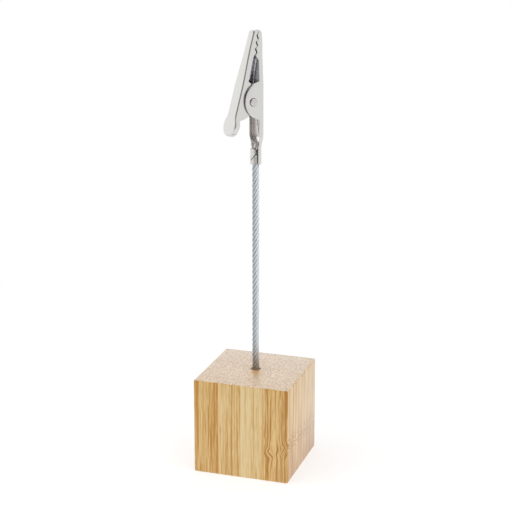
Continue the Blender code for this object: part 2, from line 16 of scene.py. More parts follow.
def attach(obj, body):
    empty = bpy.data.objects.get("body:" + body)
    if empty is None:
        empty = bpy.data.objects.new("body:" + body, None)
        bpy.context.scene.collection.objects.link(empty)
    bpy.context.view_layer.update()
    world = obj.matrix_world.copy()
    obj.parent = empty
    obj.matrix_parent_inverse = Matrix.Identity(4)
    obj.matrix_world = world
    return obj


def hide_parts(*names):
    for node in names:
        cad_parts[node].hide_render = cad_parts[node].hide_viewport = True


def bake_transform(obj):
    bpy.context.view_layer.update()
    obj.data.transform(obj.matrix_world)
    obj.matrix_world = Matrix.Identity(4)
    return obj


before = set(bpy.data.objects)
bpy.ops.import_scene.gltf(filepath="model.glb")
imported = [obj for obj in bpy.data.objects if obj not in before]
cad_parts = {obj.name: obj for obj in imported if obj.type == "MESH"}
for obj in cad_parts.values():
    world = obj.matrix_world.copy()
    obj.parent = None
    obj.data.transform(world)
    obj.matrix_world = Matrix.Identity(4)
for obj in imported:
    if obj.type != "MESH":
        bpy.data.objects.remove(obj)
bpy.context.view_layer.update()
MM = 0.001
SCENE = bpy.context.scene


# %% [markdown]
# ## Tools for nodes
#
# Materials and the rope are made of nodes. `add` makes a node and feeds it with values or with what
# comes out of others. A `Number` is such an output: a sum on it is written as a sum, and each sign
# makes its own maths node.

# %% Tools for nodes
class Number:
    """A number in a node tree. What is worked out from it is worked out by nodes."""

    def __init__(self, socket):
        self.socket = socket

    def maths(self, operation, other=0.0):
        node = add(self.socket.id_data, "ShaderNodeMath", {"operation": operation}, i0=self, i1=other)
        return Number(node.outputs[0])

    def __add__(self, other):
        return self.maths("ADD", other)

    def __sub__(self, other):
        return self.maths("SUBTRACT", other)

    def __mul__(self, other):
        return self.maths("MULTIPLY", other)

    def __truediv__(self, other):
        return self.maths("DIVIDE", other)

    def between(self, low, high, to_low=0.0, to_high=1.0):
        """A soft step from one value to another."""
        node = add(self.socket.id_data, "ShaderNodeMapRange", {"interpolation_type": "SMOOTHSTEP"},
                   Value=self, From_Min=low, From_Max=high, To_Min=to_low, To_Max=to_high)
        return Number(node.outputs[0])

    def hump(self, middle, reach):
        """A bell curve round a middle value."""
        off = (self - middle) / reach
        return (off * off * -1.0).maths("EXPONENT")


def feed(node, **inputs):
    """Fills inputs of a node with values, numbers or other nodes' outputs.

    Inputs are named, or i0, i1 and so on by their place. A node stands for its first output."""
    for name, value in inputs.items():
        socket = node.inputs[int(name[1:]) if name[1:].isdigit() else name.replace("_", " ")]
        value = getattr(value, "socket", value)
        if isinstance(value, bpy.types.Node):
            value = value.outputs[0]
        if isinstance(value, bpy.types.NodeSocket):
            node.id_data.links.new(value, socket)
        else:
            socket.default_value = value
    return node


def add(tree, kind, settings=None, **inputs):
    """A new node, with its settings and inputs."""
    node = tree.nodes.new(kind)
    for name, value in (settings or {}).items():
        setattr(node, name, value)
    return feed(node, **inputs)


def apart(vector):
    """The x, y and z of a vector, as numbers."""
    node = add(vector.id_data, "ShaderNodeSeparateXYZ", Vector=vector)
    return [Number(part) for part in node.outputs]


def blend_colour(share, first, second):
    """A colour between two others."""
    return add(share.socket.id_data, "ShaderNodeMix", {"data_type": "RGBA"}, Factor=share, i6=first,
               i7=second).outputs[2]


def new_material(name, **inputs):
    """A material with its Principled shader's inputs: the material, its nodes and the shader."""
    made = bpy.data.materials.new(name)
    made.use_nodes = True
    return made, made.node_tree, feed(made.node_tree.nodes["Principled BSDF"], **inputs)


def rgb(red, green, blue):
    """A colour for a socket, from screen values of 0 to 255."""
    def linear(value):
        value /= 255
        return value / 12.92 if value <= 0.04045 else ((value + 0.055) / 1.055) ** 2.4
    return (linear(red), linear(green), linear(blue), 1.0)


print("mid grey for a socket:", round(rgb(128, 128, 128)[0], 3))


# %% [markdown]
# ## Tools for meshes
#
# Finished meshes go into the scene through `put`, which also says which body each rides on and which
# CAD node it stands for. Holes and slits are cut with an exact Boolean, on a work object that is
# thrown away.

# %% Tools for meshes
def new_object(name, data):
    """A new object in the scene."""
    thing = bpy.data.objects.new(name, data)
    SCENE.collection.objects.link(thing)
    return thing


def put(mesh, name, body, node):
    """Shows a finished mesh on a body, in place of a CAD node."""
    piece = new_object(name, mesh)
    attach(piece, body)
    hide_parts(node)


def ease(start, end, value):
    """0 before start, 1 after end, with a smooth rise between."""
    share = min(max((value - start) / (end - start), 0.0), 1.0)
    return share * share * (3 - 2 * share)


def mix(first, second, share):
    return first + (second - first) * share


def finished(mesh, angle, *finishes):
    """The mesh with its materials, smooth but for edges sharper than the angle."""
    mesh.shade_smooth()
    mesh.set_sharp_from_angle(angle=radians(angle))
    for finish in finishes:
        mesh.materials.append(finish)
    return mesh


def to_mesh(bm, name):
    mesh = bpy.data.meshes.new(name)
    bm.to_mesh(mesh)
    bm.free()
    return mesh


def evaluated_mesh(thing):
    """The mesh that an object has once its modifiers or its bevel are worked out."""
    bpy.context.view_layer.update()
    return bpy.data.meshes.new_from_object(thing.evaluated_get(bpy.context.evaluated_depsgraph_get()))


def carve(mesh, tool_mesh):
    """The mesh less another."""
    work, tool = new_object("work", mesh), new_object("tool", tool_mesh)
    step = work.modifiers.new("cut", "BOOLEAN")
    step.operation = "DIFFERENCE"
    step.solver = "EXACT"
    step.object = tool
    done = evaluated_mesh(work)
    bpy.data.objects.remove(work)
    bpy.data.objects.remove(tool)
    return done


def drill(mesh, radius, low, high, turn=Matrix()):
    """A round hole along z from low to high, after an optional turn of the drill."""
    bm = bmesh.new()
    bmesh.ops.create_cone(bm, cap_ends=True, segments=48, radius1=radius, radius2=radius, depth=high - low)
    bmesh.ops.translate(bm, vec=(0.0, 0.0, (low + high) / 2), verts=bm.verts)
    bmesh.ops.transform(bm, matrix=turn, verts=bm.verts)
    return carve(mesh, to_mesh(bm, "drill"))


print("halfway through a soft rise:", ease(0, 1, 0.5))


# %% [markdown]
# ## Bamboo
#
# The block is four flat strips of cane glued side by side, and cane is a bundle of dark fibres in
# a pale filling. Along the grain the fibres are thin sharp lines, so noise is squeezed across the
# grain, stretched along it, and cut to a hard edge. Four layers do it, from broad shades to hairs.
# Where the cane had a node its fibres swirl, so there the noise is looked up a little aside.

# %% Bamboo along the grain
BLOCK_SIDE = 30.0 * MM
BLOCK_HEIGHT = 30.0 * MM
GLUE_LINES = (-7.05 * MM, 0.0, 7.5 * MM)
NODE_RISE = 10.8 * MM  # the cane's node, above the desk
NODE_REACH = 5.0 * MM
GRAIN_DEPTH = 0.03 * MM
# Waves per metre of each layer, along x, y and z
BROAD = (700.0, 90.0, 18.0)
VEIN = (1350.0, 300.0, 32.0)
FIBRE = (3000.0, 700.0, 50.0)
HAIR = (4600.0, 2500.0, 260.0)
WIDE_SWIRL = (260.0, 140.0, 190.0)
SMALL_SWIRL = (520.0, 260.0, 400.0)


def varnished(name):
    """A material under a soft clear coat, with its object coordinates."""
    made, tree, shader = new_material(name, Roughness=0.5, Specular_IOR_Level=0.25, Coat_Weight=1.0,
                                      Coat_Roughness=0.28)
    return made, tree, shader, add(tree, "ShaderNodeTexCoord").outputs["Object"]


def noise(place, scale, seed, detail=2.0):
    """Noise with its own scale along each axis."""
    spread = add(place.id_data, "ShaderNodeMapping", Vector=place, Scale=scale,
                 Location=(seed, seed / 3, seed / 7))
    return Number(add(place.id_data, "ShaderNodeTexNoise", Vector=spread, Scale=1.0,
                      Detail=detail, Roughness=0.6).outputs["Fac"])


def join_wood(shader, colour, height, strength=0.15):
    """Gives a wood's shader its colour and a fine relief."""
    bump = add(shader.id_data, "ShaderNodeBump", Height=height, Strength=strength,
               Distance=GRAIN_DEPTH)
    feed(shader, Base_Color=colour, Normal=bump)


def bamboo(name, pale, dark, span, bands, seed, lines, swirl=0.0):
    """Cane cut along its fibres. Bands are (share of the strip's width, how dark) pairs."""
    made, tree, shader, place = varnished(name)
    x, y, z = apart(place)
    across = add(tree, "ShaderNodeMapRange", Value=x, From_Min=span[0], From_Max=span[1])
    strength = vein_strength = lines
    if swirl:
        near_node = z.hump(NODE_RISE, NODE_REACH)
        wide = noise(place, WIDE_SWIRL, seed, 1.0) - 0.5
        small = noise(place, SMALL_SWIRL, seed, 1.0) - 0.5
        x = x + (wide * swirl + small * (swirl / 4)) * near_node
        strength = near_node * 0.55 + lines
        vein_strength = near_node * 0.35 + lines
    bent = add(tree, "ShaderNodeCombineXYZ", X=x, Y=y, Z=z)
    fibre = noise(bent, FIBRE, seed + 3, 1.0)
    vein = noise(bent, VEIN, seed + 13, 1.0)
    ramp = add(tree, "ShaderNodeValToRGB", Fac=across)
    stops = ramp.color_ramp.elements
    while len(stops) < len(bands):
        stops.new(0.5)
    for stop, (where, darkness) in zip(stops, bands):
        stop.position = where
        stop.color = (darkness, darkness, darkness, 1.0)
    amount = Number(ramp.outputs[0]) + (noise(bent, BROAD, seed) - 0.53) * 0.75
    amount += fibre.between(0.55, 0.61) * strength
    amount += vein.between(0.57, 0.62) * vein_strength
    amount += fibre.between(0.36, 0.48, -0.2, 0.0)
    amount += (noise(bent, HAIR, seed + 7, 1.0) - 0.5) * 1.35
    join_wood(shader, blend_colour(amount, pale, dark), fibre)
    return made


edges = (-BLOCK_SIDE / 2, *GLUE_LINES, BLOCK_SIDE / 2)
strip_woods = [
    bamboo("bamboo_1", rgb(229, 195, 130), rgb(191, 132, 30), edges[0:2],
           [(0.0, 0.4), (0.1, 0.8), (0.2, 0.35), (0.6, 0.3), (0.85, 0.55), (1.0, 0.3)], 1.7, 0.6),
    bamboo("bamboo_2", rgb(231, 200, 141), rgb(193, 139, 42), edges[1:3],
           [(0.0, 0.1), (0.3, 0.2), (0.6, 0.5), (0.75, 0.3), (1.0, 0.35)], 4.1, 0.55),
    bamboo("bamboo_3", rgb(232, 206, 152), rgb(205, 156, 72), edges[2:4],
           [(0.0, 0.1), (0.3, 0.22), (0.9, 0.22), (0.97, 0.7), (1.0, 0.5)], 8.3, 0.32),
    bamboo("bamboo_4", rgb(231, 195, 127), rgb(181, 121, 18), edges[3:5],
           [(0.0, 0.2), (0.3, 0.42), (0.6, 0.38), (0.86, 0.55), (0.93, 0.8), (1.0, 0.1)], 11.9, 0.7,
           swirl=3.6 * MM),
]
print("strips' woods:", [wood.name for wood in strip_woods])


# %% [markdown]
# ### Bamboo's other faces
#
# The wide face of a strip is calmer, but the node leaves a dotted scar across it. On top the fibres
# are cut across and show as specks in a paler, pinker ground. The clear coat makes the top so pale
# at a low angle. Towards the camera the top has a painted amber streak, the rope's reflection and
# shade painted in.

# %% Bamboo sides and top
VIEW_AZIMUTH = radians(18)  # azimuth towards the camera, along which the painted reflection of the rope runs
SIDE_FIBRE = (300.0, 750.0, 42.0)
SIDE_CLOUD = (90.0, 140.0, 60.0)
SCAR_DOTS = (500.0, 950.0, 1500.0)
SCAR_REACH = 2.1 * MM
SCAR_SLOPE = 0.12
SPECKS = (2100.0, 1500.0, 300.0)
TOP_CLOUD = (260.0, 120.0, 60.0)
THREAD = 0.09 * MM  # half of a glue line's width


def side_of_cane(name, seed):
    """The wide face of a strip, a little darker towards the desk."""
    made, tree, shader, place = varnished(name)
    x, y, z = apart(place)
    fibre = noise(place, SIDE_FIBRE, seed)
    dots = noise(place, SCAR_DOTS, seed + 9, 1.0)
    scar = dots.between(0.53, 0.62) * (z + y * SCAR_SLOPE).hump(NODE_RISE, SCAR_REACH)
    amount = (fibre - 0.5) * 2.2 + (noise(place, SIDE_CLOUD, seed + 5) - 0.5) * 0.7
    amount += scar * 1.2
    amount += z.between(0.0, 20 * MM, 0.68, 0.24)
    join_wood(shader, blend_colour(amount, rgb(231, 197, 137), rgb(180, 113, 14)), fibre)
    return made


def end_grain(name):
    """Fibres cut across, with the glue lines as dark threads and a painted reflection of the rope."""
    made, tree, shader, place = varnished(name)
    x, y, z = apart(place)
    speck = noise(place, SPECKS, 2.0, 3.0)
    amount = speck.between(0.36, 0.68) + noise(place, TOP_CLOUD, 6.0) * 0.4
    for line in GLUE_LINES:
        amount += x.hump(line, THREAD) * 0.3
    wood = blend_colour(amount, rgb(250, 232, 206), rgb(208, 176, 146))
    # A painted amber streak running towards the camera stands for the rope's reflection and shade in the
    # coat.
    forward = x * sin(VIEW_AZIMUTH) - y * cos(VIEW_AZIMUTH)
    aside = x * cos(VIEW_AZIMUTH) + y * sin(VIEW_AZIMUTH)
    rope_reflection = forward.hump(2.0 * MM, 5.0 * MM) * aside.hump(0.0, 1.5 * MM) * 0.75
    join_wood(shader, blend_colour(rope_reflection, wood, rgb(214, 164, 96)), speck, 0.2)
    return made


left_side, right_side = side_of_cane("cane_side_left", 3.3), side_of_cane("cane_side_right", 7.7)
top_grain = end_grain("cane_end_grain")
print("other woods:", [wood.name for wood in (left_side, right_side, top_grain)])


# %% [markdown]
# ## The four strips of the block
#
# One rounded box is cut along the glue lines, and a round socket is drilled into the middle two
# strips for the rope. Bisecting the same box keeps the milled edges running on across the joints.

# %% Strips
SOCKET_RADIUS = 1.6 * MM
SOCKET_DEPTH = 18.0 * MM
BLOCK_EDGE = 0.6 * MM
MERGE = 1e-7  # points closer than this are one


def strip(left, right, name):
    """A slice of the rounded block between two heights of x."""
    bm = bmesh.new()
    bmesh.ops.create_cube(bm, size=1.0)
    bmesh.ops.scale(bm, vec=(BLOCK_SIDE, BLOCK_SIDE, BLOCK_HEIGHT), verts=bm.verts)
    bmesh.ops.translate(bm, vec=(0.0, 0.0, BLOCK_HEIGHT / 2), verts=bm.verts)
    bmesh.ops.bevel(bm, geom=list(bm.edges), offset=BLOCK_EDGE, segments=4, profile=0.5, affect="EDGES")
    for x, side in ((left, -1.0), (right, 1.0)):
        if x in GLUE_LINES:
            cut = bmesh.ops.bisect_plane(bm, geom=[*bm.verts, *bm.edges, *bm.faces], dist=MERGE,
                                         plane_co=(x, 0.0, 0.0), plane_no=(side, 0.0, 0.0), clear_outer=True)
            rim = [item for item in cut["geom_cut"] if isinstance(item, bmesh.types.BMEdge)]
            bmesh.ops.contextual_create(bm, geom=rim)
    bmesh.ops.recalc_face_normals(bm, faces=bm.faces)
    return to_mesh(bm, name)


slots = ("bamboo_dark", "bamboo_streaked", "bamboo_pale", "bamboo_node")
for number, (wood, slot) in enumerate(zip(strip_woods, slots)):
    name = "strip_%d" % (number + 1)
    mesh = strip(edges[number], edges[number + 1], name)
    if number in (1, 2):
        mesh = drill(mesh, SOCKET_RADIUS, BLOCK_HEIGHT - SOCKET_DEPTH, BLOCK_HEIGHT + MM)
    mesh.materials.clear()
    finished(mesh, 30, wood, top_grain, right_side if number else left_side)
    for face in mesh.polygons:
        face.material_index = 1 if abs(face.normal.z) > 0.7 else 2 if abs(face.normal.x) > 0.7 else 0
    put(mesh, name, "base", "bamboo_stave_%d" % (number + 1))
    print(name, "faces:", len(mesh.polygons))


# %% [markdown]
# ## Metals
#
# Plated sheet is a bright metal with a little blur in its reflection, and the blur itself wanders
# slightly, because the plating and fingers do that. Copies of the plating carry painted light: a
# rougher copy, slightly darkened as painted shade, inside the folds; painted bluish shade deep in
# the nose; a painted highlight on inner walls above the rivet; painted shade in the lever's fold
# and round the rivet's heads. The rope is a softer grey, with painted shade on its left and in the
# crimp, and a painted brown reflection of the block at its foot.

# %% Metal materials
CLIP_BASE = 94.4 * MM  # the crimp's lower end, above the desk
CRIMP_LENGTH = 4.7 * MM
METAL_GRAIN = 0.01 * MM


def metal(name, colour, roughness, wander):
    """A metal whose roughness drifts by wander, with a fine bump."""
    made, tree, shader = new_material(name, Metallic=1.0, Base_Color=rgb(*colour))
    place = add(tree, "ShaderNodeTexCoord").outputs["Object"]
    drift = add(tree, "ShaderNodeTexNoise", Vector=place, Scale=420.0, Detail=3.0)
    blur = add(tree, "ShaderNodeMapRange", Value=drift.outputs["Fac"], From_Min=0.3, From_Max=0.7,
               To_Min=roughness - wander, To_Max=roughness + wander)
    fine = add(tree, "ShaderNodeTexNoise", Vector=place, Scale=5200.0, Detail=2.0)
    bump = add(tree, "ShaderNodeBump", Height=fine.outputs["Fac"], Strength=0.08, Distance=METAL_GRAIN)
    feed(shader, Roughness=blur, Normal=bump)
    return made


def laid_steel():
    """The rope's wires, with a painted brown reflection of the block at their foot, painted shade on their
    left and in the crimp, and lighter cut ends.
    """
    made, tree, shader = new_material("rope_steel", Metallic=0.35, Roughness=0.75)
    x, y, z = apart(add(tree, "ShaderNodeTexCoord").outputs["Object"])
    radius = (x * x + y * y).maths("SQRT")
    leftward = x * -cos(VIEW_AZIMUTH) + y * -sin(VIEW_AZIMUTH)
    ends = CLIP_BASE + CRIMP_LENGTH
    # A faint painted shade in the grooves between the wires.
    colour = blend_colour(radius.between(0.8 * MM, 1.07 * MM), rgb(240, 246, 250), rgb(244, 249, 252))
    # Painted shade on the rope's left and inside the crimp; lighter at the cut ends.
    for share, other in (
            (leftward.between(-0.7 * MM, 1.0 * MM), (197, 205, 212)),
            (z.between(CLIP_BASE - 0.1 * MM, CLIP_BASE + 0.2 * MM), (160, 158, 158)),
            (z.between(ends - 0.5 * MM, ends), (232, 226, 222))):
        colour = blend_colour(share, colour, rgb(*other))
    # A painted brown reflection of the block, fading up from the rope's foot.
    above_foot_reflection = z.between(BLOCK_HEIGHT - 2 * MM, BLOCK_HEIGHT + 9 * MM)
    feed(shader, Base_Color=blend_colour(above_foot_reflection, rgb(172, 152, 138), colour))
    return made


nickel = metal("nickel_plate", (213, 212, 209), 0.24, 0.04)
# For the inside faces a rougher copy, slightly darkened as painted shade; the rivets' middles use it too.
nickel_inside = metal("nickel_inside", (208, 202, 199), 0.45, 0.05)
# Painted bluish shade deep in the noses, between the teeth.
nickel_painted_deep_shade = metal("nickel_painted_deep_shade", (172, 170, 178), 0.46, 0.04)
# A painted highlight on the fixed jaw's inner walls above the rivet.
nickel_painted_highlight = metal("nickel_painted_highlight", (250, 249, 252), 0.22, 0.04)
# Painted shade in the lever's near fold, just below its tip.
nickel_painted_fold_shade = metal("nickel_painted_fold_shade", (146, 144, 143), 0.5, 0.05)
# Painted shade on the rivet heads' sides and on the thin ring round them.
painted_rim_shade = metal("nickel_painted_rim_shade", (116, 112, 110), 0.5, 0.05)
spring_steel = metal("spring_steel", (222, 222, 224), 0.3, 0.04)
rope_steel = laid_steel()
adhesive = new_material("cured_adhesive", Base_Color=rgb(128, 98, 70), Roughness=0.25)[0]
print("materials:", len(bpy.data.materials))


# %% [markdown]
# ## The wire rope
#
# The rope is seven strands of seven wires each. Six strands wind round a straight one, and in
# every strand six wires wind round a seventh, the other way, which makes the wires you see run
# almost straight up the rope. That is a rule, so Geometry Nodes draw it: a straight line for each
# wire is moved out to where two nested spirals put it, and is then given a round section. Above
# the crimp the cut ends lean away from the jaw's spine and splay.

# %% Nodes that draw a strand
CLIP_TURN = radians(50)
STRAND_INPUTS = ("Foot", "Top", "Strand Circle", "Strand Lay", "Phase", "Wire Circle", "Wire Lay",
                 "Wire Radius", "Lean Start", "Lean", "Splay")


def strand_tree():
    """Geometry nodes that draw one strand: wires wound round a line that is itself wound."""
    tree = bpy.data.node_groups.new("laid_strand", "GeometryNodeTree")
    face = tree.interface
    face.new_socket("Geometry", in_out="OUTPUT", socket_type="NodeSocketGeometry")
    for name in STRAND_INPUTS:
        face.new_socket(name, in_out="INPUT", socket_type="NodeSocketFloat")
    face.new_socket("Points", in_out="INPUT", socket_type="NodeSocketInt")
    face.new_socket("Material", in_out="INPUT", socket_type="NodeSocketMaterial")
    given = add(tree, "NodeGroupInput").outputs
    foot, top, strand_circle, lay, phase, wire_circle, wire_lay, wire_radius, lean_start, lean, splay = (
        Number(given[name]) for name in STRAND_INPUTS)

    def vector(**parts):
        return add(tree, "ShaderNodeCombineXYZ", **parts)

    def on_vectors(operation, **inputs):
        return add(tree, "ShaderNodeVectorMath", {"operation": operation}, **inputs)

    line = add(tree, "GeometryNodeCurvePrimitiveLine", Start=vector(Z=foot), End=vector(Z=top))
    line = add(tree, "GeometryNodeResampleCurve", Curve=line, Count=given["Points"])
    seeds = add(tree, "GeometryNodePoints", Count=7)
    wires = add(tree, "GeometryNodeInstanceOnPoints", Points=seeds, Instance=line)
    index = add(tree, "GeometryNodeInputIndex")
    named = add(tree, "GeometryNodeStoreNamedAttribute", {"data_type": "FLOAT", "domain": "INSTANCE"},
                Geometry=wires, Name="wire", Value=index)
    wires = add(tree, "GeometryNodeRealizeInstances", Geometry=named)
    named = add(tree, "GeometryNodeInputNamedAttribute", {"data_type": "FLOAT"}, Name="wire")
    wire = Number(named.outputs[0])
    z = apart(add(tree, "GeometryNodeInputPosition"))[2]
    turn = 2 * pi
    a = ((z - foot) / lay + phase) * turn
    b = ((z - foot) / wire_lay + wire / 6.0) * turn
    cos_a, sin_a = a.maths("COSINE"), a.maths("SINE")
    side = on_vectors("NORMALIZE", i0=vector(X=sin_a * -1.0, Y=cos_a, Z=strand_circle / lay * -turn))
    end = z.between(lean_start, top)
    circle = wire_circle * wire.maths("MINIMUM", 1.0)
    outward = strand_circle + end * splay + circle * b.maths("COSINE")
    move = on_vectors("ADD", i0=on_vectors("SCALE", i0=vector(X=cos_a, Y=sin_a), Scale=outward),
                      i1=on_vectors("SCALE", i0=side, Scale=circle * b.maths("SINE")))
    away = on_vectors("SCALE", i0=(-cos(CLIP_TURN), -sin(CLIP_TURN), 0.0), Scale=end * lean)
    placed = add(tree, "GeometryNodeSetPosition", Geometry=wires,
                 Offset=on_vectors("ADD", i0=move, i1=away))
    profile = add(tree, "GeometryNodeCurvePrimitiveCircle", Resolution=7, Radius=wire_radius)
    tube = add(tree, "GeometryNodeCurveToMesh", Curve=placed, Profile_Curve=profile, Fill_Caps=True)
    smooth = add(tree, "GeometryNodeSetShadeSmooth", Geometry=tube)
    real = add(tree, "GeometryNodeRealizeInstances", Geometry=smooth)
    done = add(tree, "GeometryNodeSetMaterial", Geometry=real, Material=given["Material"])
    add(tree, "NodeGroupOutput", i0=done)
    return tree


strand = strand_tree()
print("nodes in the strand's group:", len(strand.nodes))


# %% [markdown]
# ### Laying the rope
#
# The group runs once for each strand, with its own phase, and its result is kept as a plain mesh.
# The six outer strands end at slightly different heights, as they do when a rope is cut.

# %% Rope
STRAND_CIRCLE = 0.766 * MM
CORE_RADIUS = 0.386 * MM
STRAND_RADIUS = 0.31 * MM
ROPE_LAY = 10.0 * MM
WIRE_LAY = -2.7 * MM
CORE_WIRE_LAY = 4.2 * MM
ROPE_FOOT = BLOCK_HEIGHT - SOCKET_DEPTH + 0.3 * MM
ROPE_TOP = CLIP_BASE + CRIMP_LENGTH + 2.2 * MM
CUT_OFFSETS = (-0.5, -0.3, 0.1, 0.0, -0.9, -0.7)  # of the strands' tops, in millimetres
CUT_SPLAYS = (0.1, 0.25, 0.05, 0.2, 0.12, 0.3)


def lay_strand(name, node, top, circle, phase, radius, wire_lay, splay=0.0):
    """Runs the strand's group once and shows the result."""
    values = {"Foot": ROPE_FOOT, "Top": top, "Strand Circle": circle, "Strand Lay": ROPE_LAY, "Phase": phase,
              "Wire Circle": 2 * radius / 3, "Wire Lay": wire_lay, "Wire Radius": radius / 3,
              "Lean Start": CLIP_BASE + CRIMP_LENGTH, "Lean": 0.45 * MM, "Splay": splay, "Points": 330,
              "Material": rope_steel}
    host = new_object(name, bpy.data.meshes.new(name + "_host"))
    step = host.modifiers.new("nodes", "NODES")
    step.node_group = strand
    for item in strand.interface.items_tree:
        if item.in_out == "INPUT":
            step[item.identifier] = values[item.name]
    mesh = evaluated_mesh(host)
    host.modifiers.remove(step)
    bpy.data.objects.remove(host)
    put(mesh, name, "base", node)
    return mesh


for number, (offset, splay) in enumerate(zip(CUT_OFFSETS, CUT_SPLAYS)):
    lay_strand("wires_%d" % (number + 1), "rope_strand_%d" % (number + 1), ROPE_TOP + offset * MM,
               STRAND_CIRCLE, number / 6, STRAND_RADIUS, WIRE_LAY, splay * MM)
core = lay_strand("wires_core", "core_strand", ROPE_TOP - 0.2 * MM, 0.0, 0.0, CORE_RADIUS, CORE_WIRE_LAY)
print("wires in the core strand, faces:", len(core.polygons))


# %% [markdown]
# ## Two pressings
#
# Both jaws are folded from sheet 0.4 mm thick, so each is drawn as a row of sections from its tip
# down, joined like the hoops of a barrel. One section runs along the outside of the sheet, over
# its rounded rim, back along the inside and over the other rim. What changes from row to row is
# how wide the sheet is and how far its walls reach, and that gives the teeth, the ears round the
# rivet, the crimp on the rope and the pad for the thumb.

# %% Sections and hoops
SHEET = 0.4 * MM
RIM = 0.09 * MM  # rounding of the sheet's cut edges, and its middle point
RIM_DEEP, RIM_SHORT = 0.3 * RIM, 0.29 * RIM
FOLD = 0.5 * MM
FOLD_STEPS = 8
INNER_FOLD = 0.4 * MM  # radius of the bend on its inside
LEAST_WALL = 0.05 * MM
ROW_GAP = 0.45 * MM
SHUT_WIDTH = 0.03  # what is left of the channel's width where a tip is pressed shut


def half_path(spine, half_width, fold, sweep, wall, inset):
    """Half of a section at one depth in the sheet: (depth, width) from its middle to its rim."""
    spine, half_width, fold = spine - inset, half_width - inset, fold - inset
    if inset > SHEET - RIM / 2 and fold < INNER_FOLD:
        rounder = min(INNER_FOLD, 0.9 * half_width)
        wall = max(wall - (rounder - fold) * (1 - cos(sweep)) / sin(sweep), 0.0)
        fold = rounder
    points = [(spine, 0.0)]
    for step in range(FOLD_STEPS + 1):
        angle = sweep * step / FOLD_STEPS
        points.append((spine - fold + fold * cos(angle), half_width - fold + fold * sin(angle)))
    depth, width = points[-1]
    points.append((depth - wall * sin(sweep), width + wall * cos(sweep)))
    return points


def section(spine, half_width, fold, halves, thinned=0.0, hollow=1.0):
    """A closed loop of (depth, width, inside) round the sheet.

    Halves are (sweep, wall) for the near and the far side. Hollow is 1 where the channel is open."""
    depths = [thinned + share * (SHEET - 2 * thinned) for share in (0.0, RIM_DEEP / SHEET, RIM / SHEET)]
    depths += [SHEET - depth for depth in reversed(depths)]
    short = (RIM, RIM_SHORT, 0.0, 0.0, RIM_SHORT, RIM)

    def path(side, layer):
        sweep, wall = halves[0] if side < 0 else halves[1]
        points = half_path(spine, half_width, fold, sweep, max(wall - short[layer], 0.0), depths[layer])
        narrow = hollow if layer == 5 else 1.0
        return [(deep, side * wide * narrow) for deep, wide in points]

    loop = [(*p, False) for p in path(1, 0)[::-1] + path(-1, 0)[1:]]
    loop += [(*path(-1, layer)[-1], False) for layer in (1, 2, 3, 4)]
    loop += [(*p, True) for p in path(-1, 5)[::-1] + path(1, 5)[1:]]
    loop += [(*path(1, layer)[-1], False) for layer in (4, 3, 2, 1)]
    return loop


def hoops(name, rows, closed_end=False):
    """Joins loops of (x, y, z, inside) into a closed skin, with the inside faces in slot 1."""
    bm = bmesh.new()
    verts = [[bm.verts.new(point[:3]) for point in row] for row in rows]
    count = len(rows[0])
    for row, (upper, lower) in enumerate(zip(verts, verts[1:])):
        for here in range(count):
            there = (here + 1) % count
            corners = dict.fromkeys((upper[here], upper[there], lower[there], lower[here]))
            face = bm.faces.new(list(corners))
            face.material_index = int(rows[row][here][3] and rows[row][there][3])
    half = 2 * FOLD_STEPS + 5
    for ring in verts[:1] if closed_end else (verts[0], verts[-1]):
        for here in range(half - 1):
            bm.faces.new((ring[here], ring[here + 1], ring[(2 * half + 2 - here) % count],
                          ring[(2 * half + 3 - here) % count]))
        bm.faces.new(ring[half - 1:half + 5])
        bm.faces.new(ring[2 * half + 3:] + ring[:1])
    bmesh.ops.remove_doubles(bm, verts=bm.verts, dist=MERGE)
    bmesh.ops.recalc_face_normals(bm, faces=bm.faces)
    if bm.calc_volume(signed=True) < 0:
        bmesh.ops.reverse_faces(bm, faces=bm.faces)
    return to_mesh(bm, name)


def fill(levels):
    """The levels in order, with more between any two that are further apart than the row gap."""
    levels = sorted(set(round(level, 9) for level in levels))
    full = levels[:1]
    for here, there in zip(levels, levels[1:]):
        extra = ceil((there - here) / ROW_GAP)
        full += [mix(here, there, step / extra) for step in range(1, extra + 1)]
    return full


print("points round one section:", len(section(MM, MM, FOLD, [(pi / 2, MM)] * 2)))


# %% [markdown]
# ### Noses and teeth
#
# Both noses have the same width and round, and they share one parting line, a leaning zigzag. Each
# jaw keeps to its side of it by half of the gap, so the teeth can't run into each other. At the
# very tip the line opens to a small V.

# %% Noses and teeth
PIVOT_RISE = 19.0 * MM
TIP_RISE = PIVOT_RISE + 20.3 * MM
NOSE_WIDTH = 2.9 * MM
NOSE_ROUND = 0.9 * MM
NOSE_PINCH = 0.85  # share of the round that narrows the tip
TOOTH_PITCH = 1.95 * MM
TOOTH_DEPTH = 0.66 * MM
TOOTH_LONG = 0.65  # share of the pitch that the long flank takes
TEETH_TOP = TIP_RISE - 1.2 * MM
TEETH_FOOT = TEETH_TOP - 3 * TOOTH_PITCH
WINDOW_POINT = 1.4 * MM
PARTING_X = -0.18 * MM
PARTING_LEAN = 0.13
TIP_GAP, V_GAP, FOOT_GAP = 0.02, 0.45, 0.22  # halves of the gap, in millimetres
TOOTH_GAPS = (0.15, 0.15, 0.18)
BITE_SHIFT, FOOT_SHIFT = 0.13, 0.05
TIP_SHUT = 0.5 * MM  # the tips are pressed shut down to here


def nose_round(below_tip):
    """How far a rounded tip draws in at a distance below its top."""
    if below_tip >= NOSE_ROUND:
        return 0.0
    return NOSE_ROUND - sqrt(NOSE_ROUND ** 2 - (NOSE_ROUND - max(below_tip, 0.0)) ** 2)


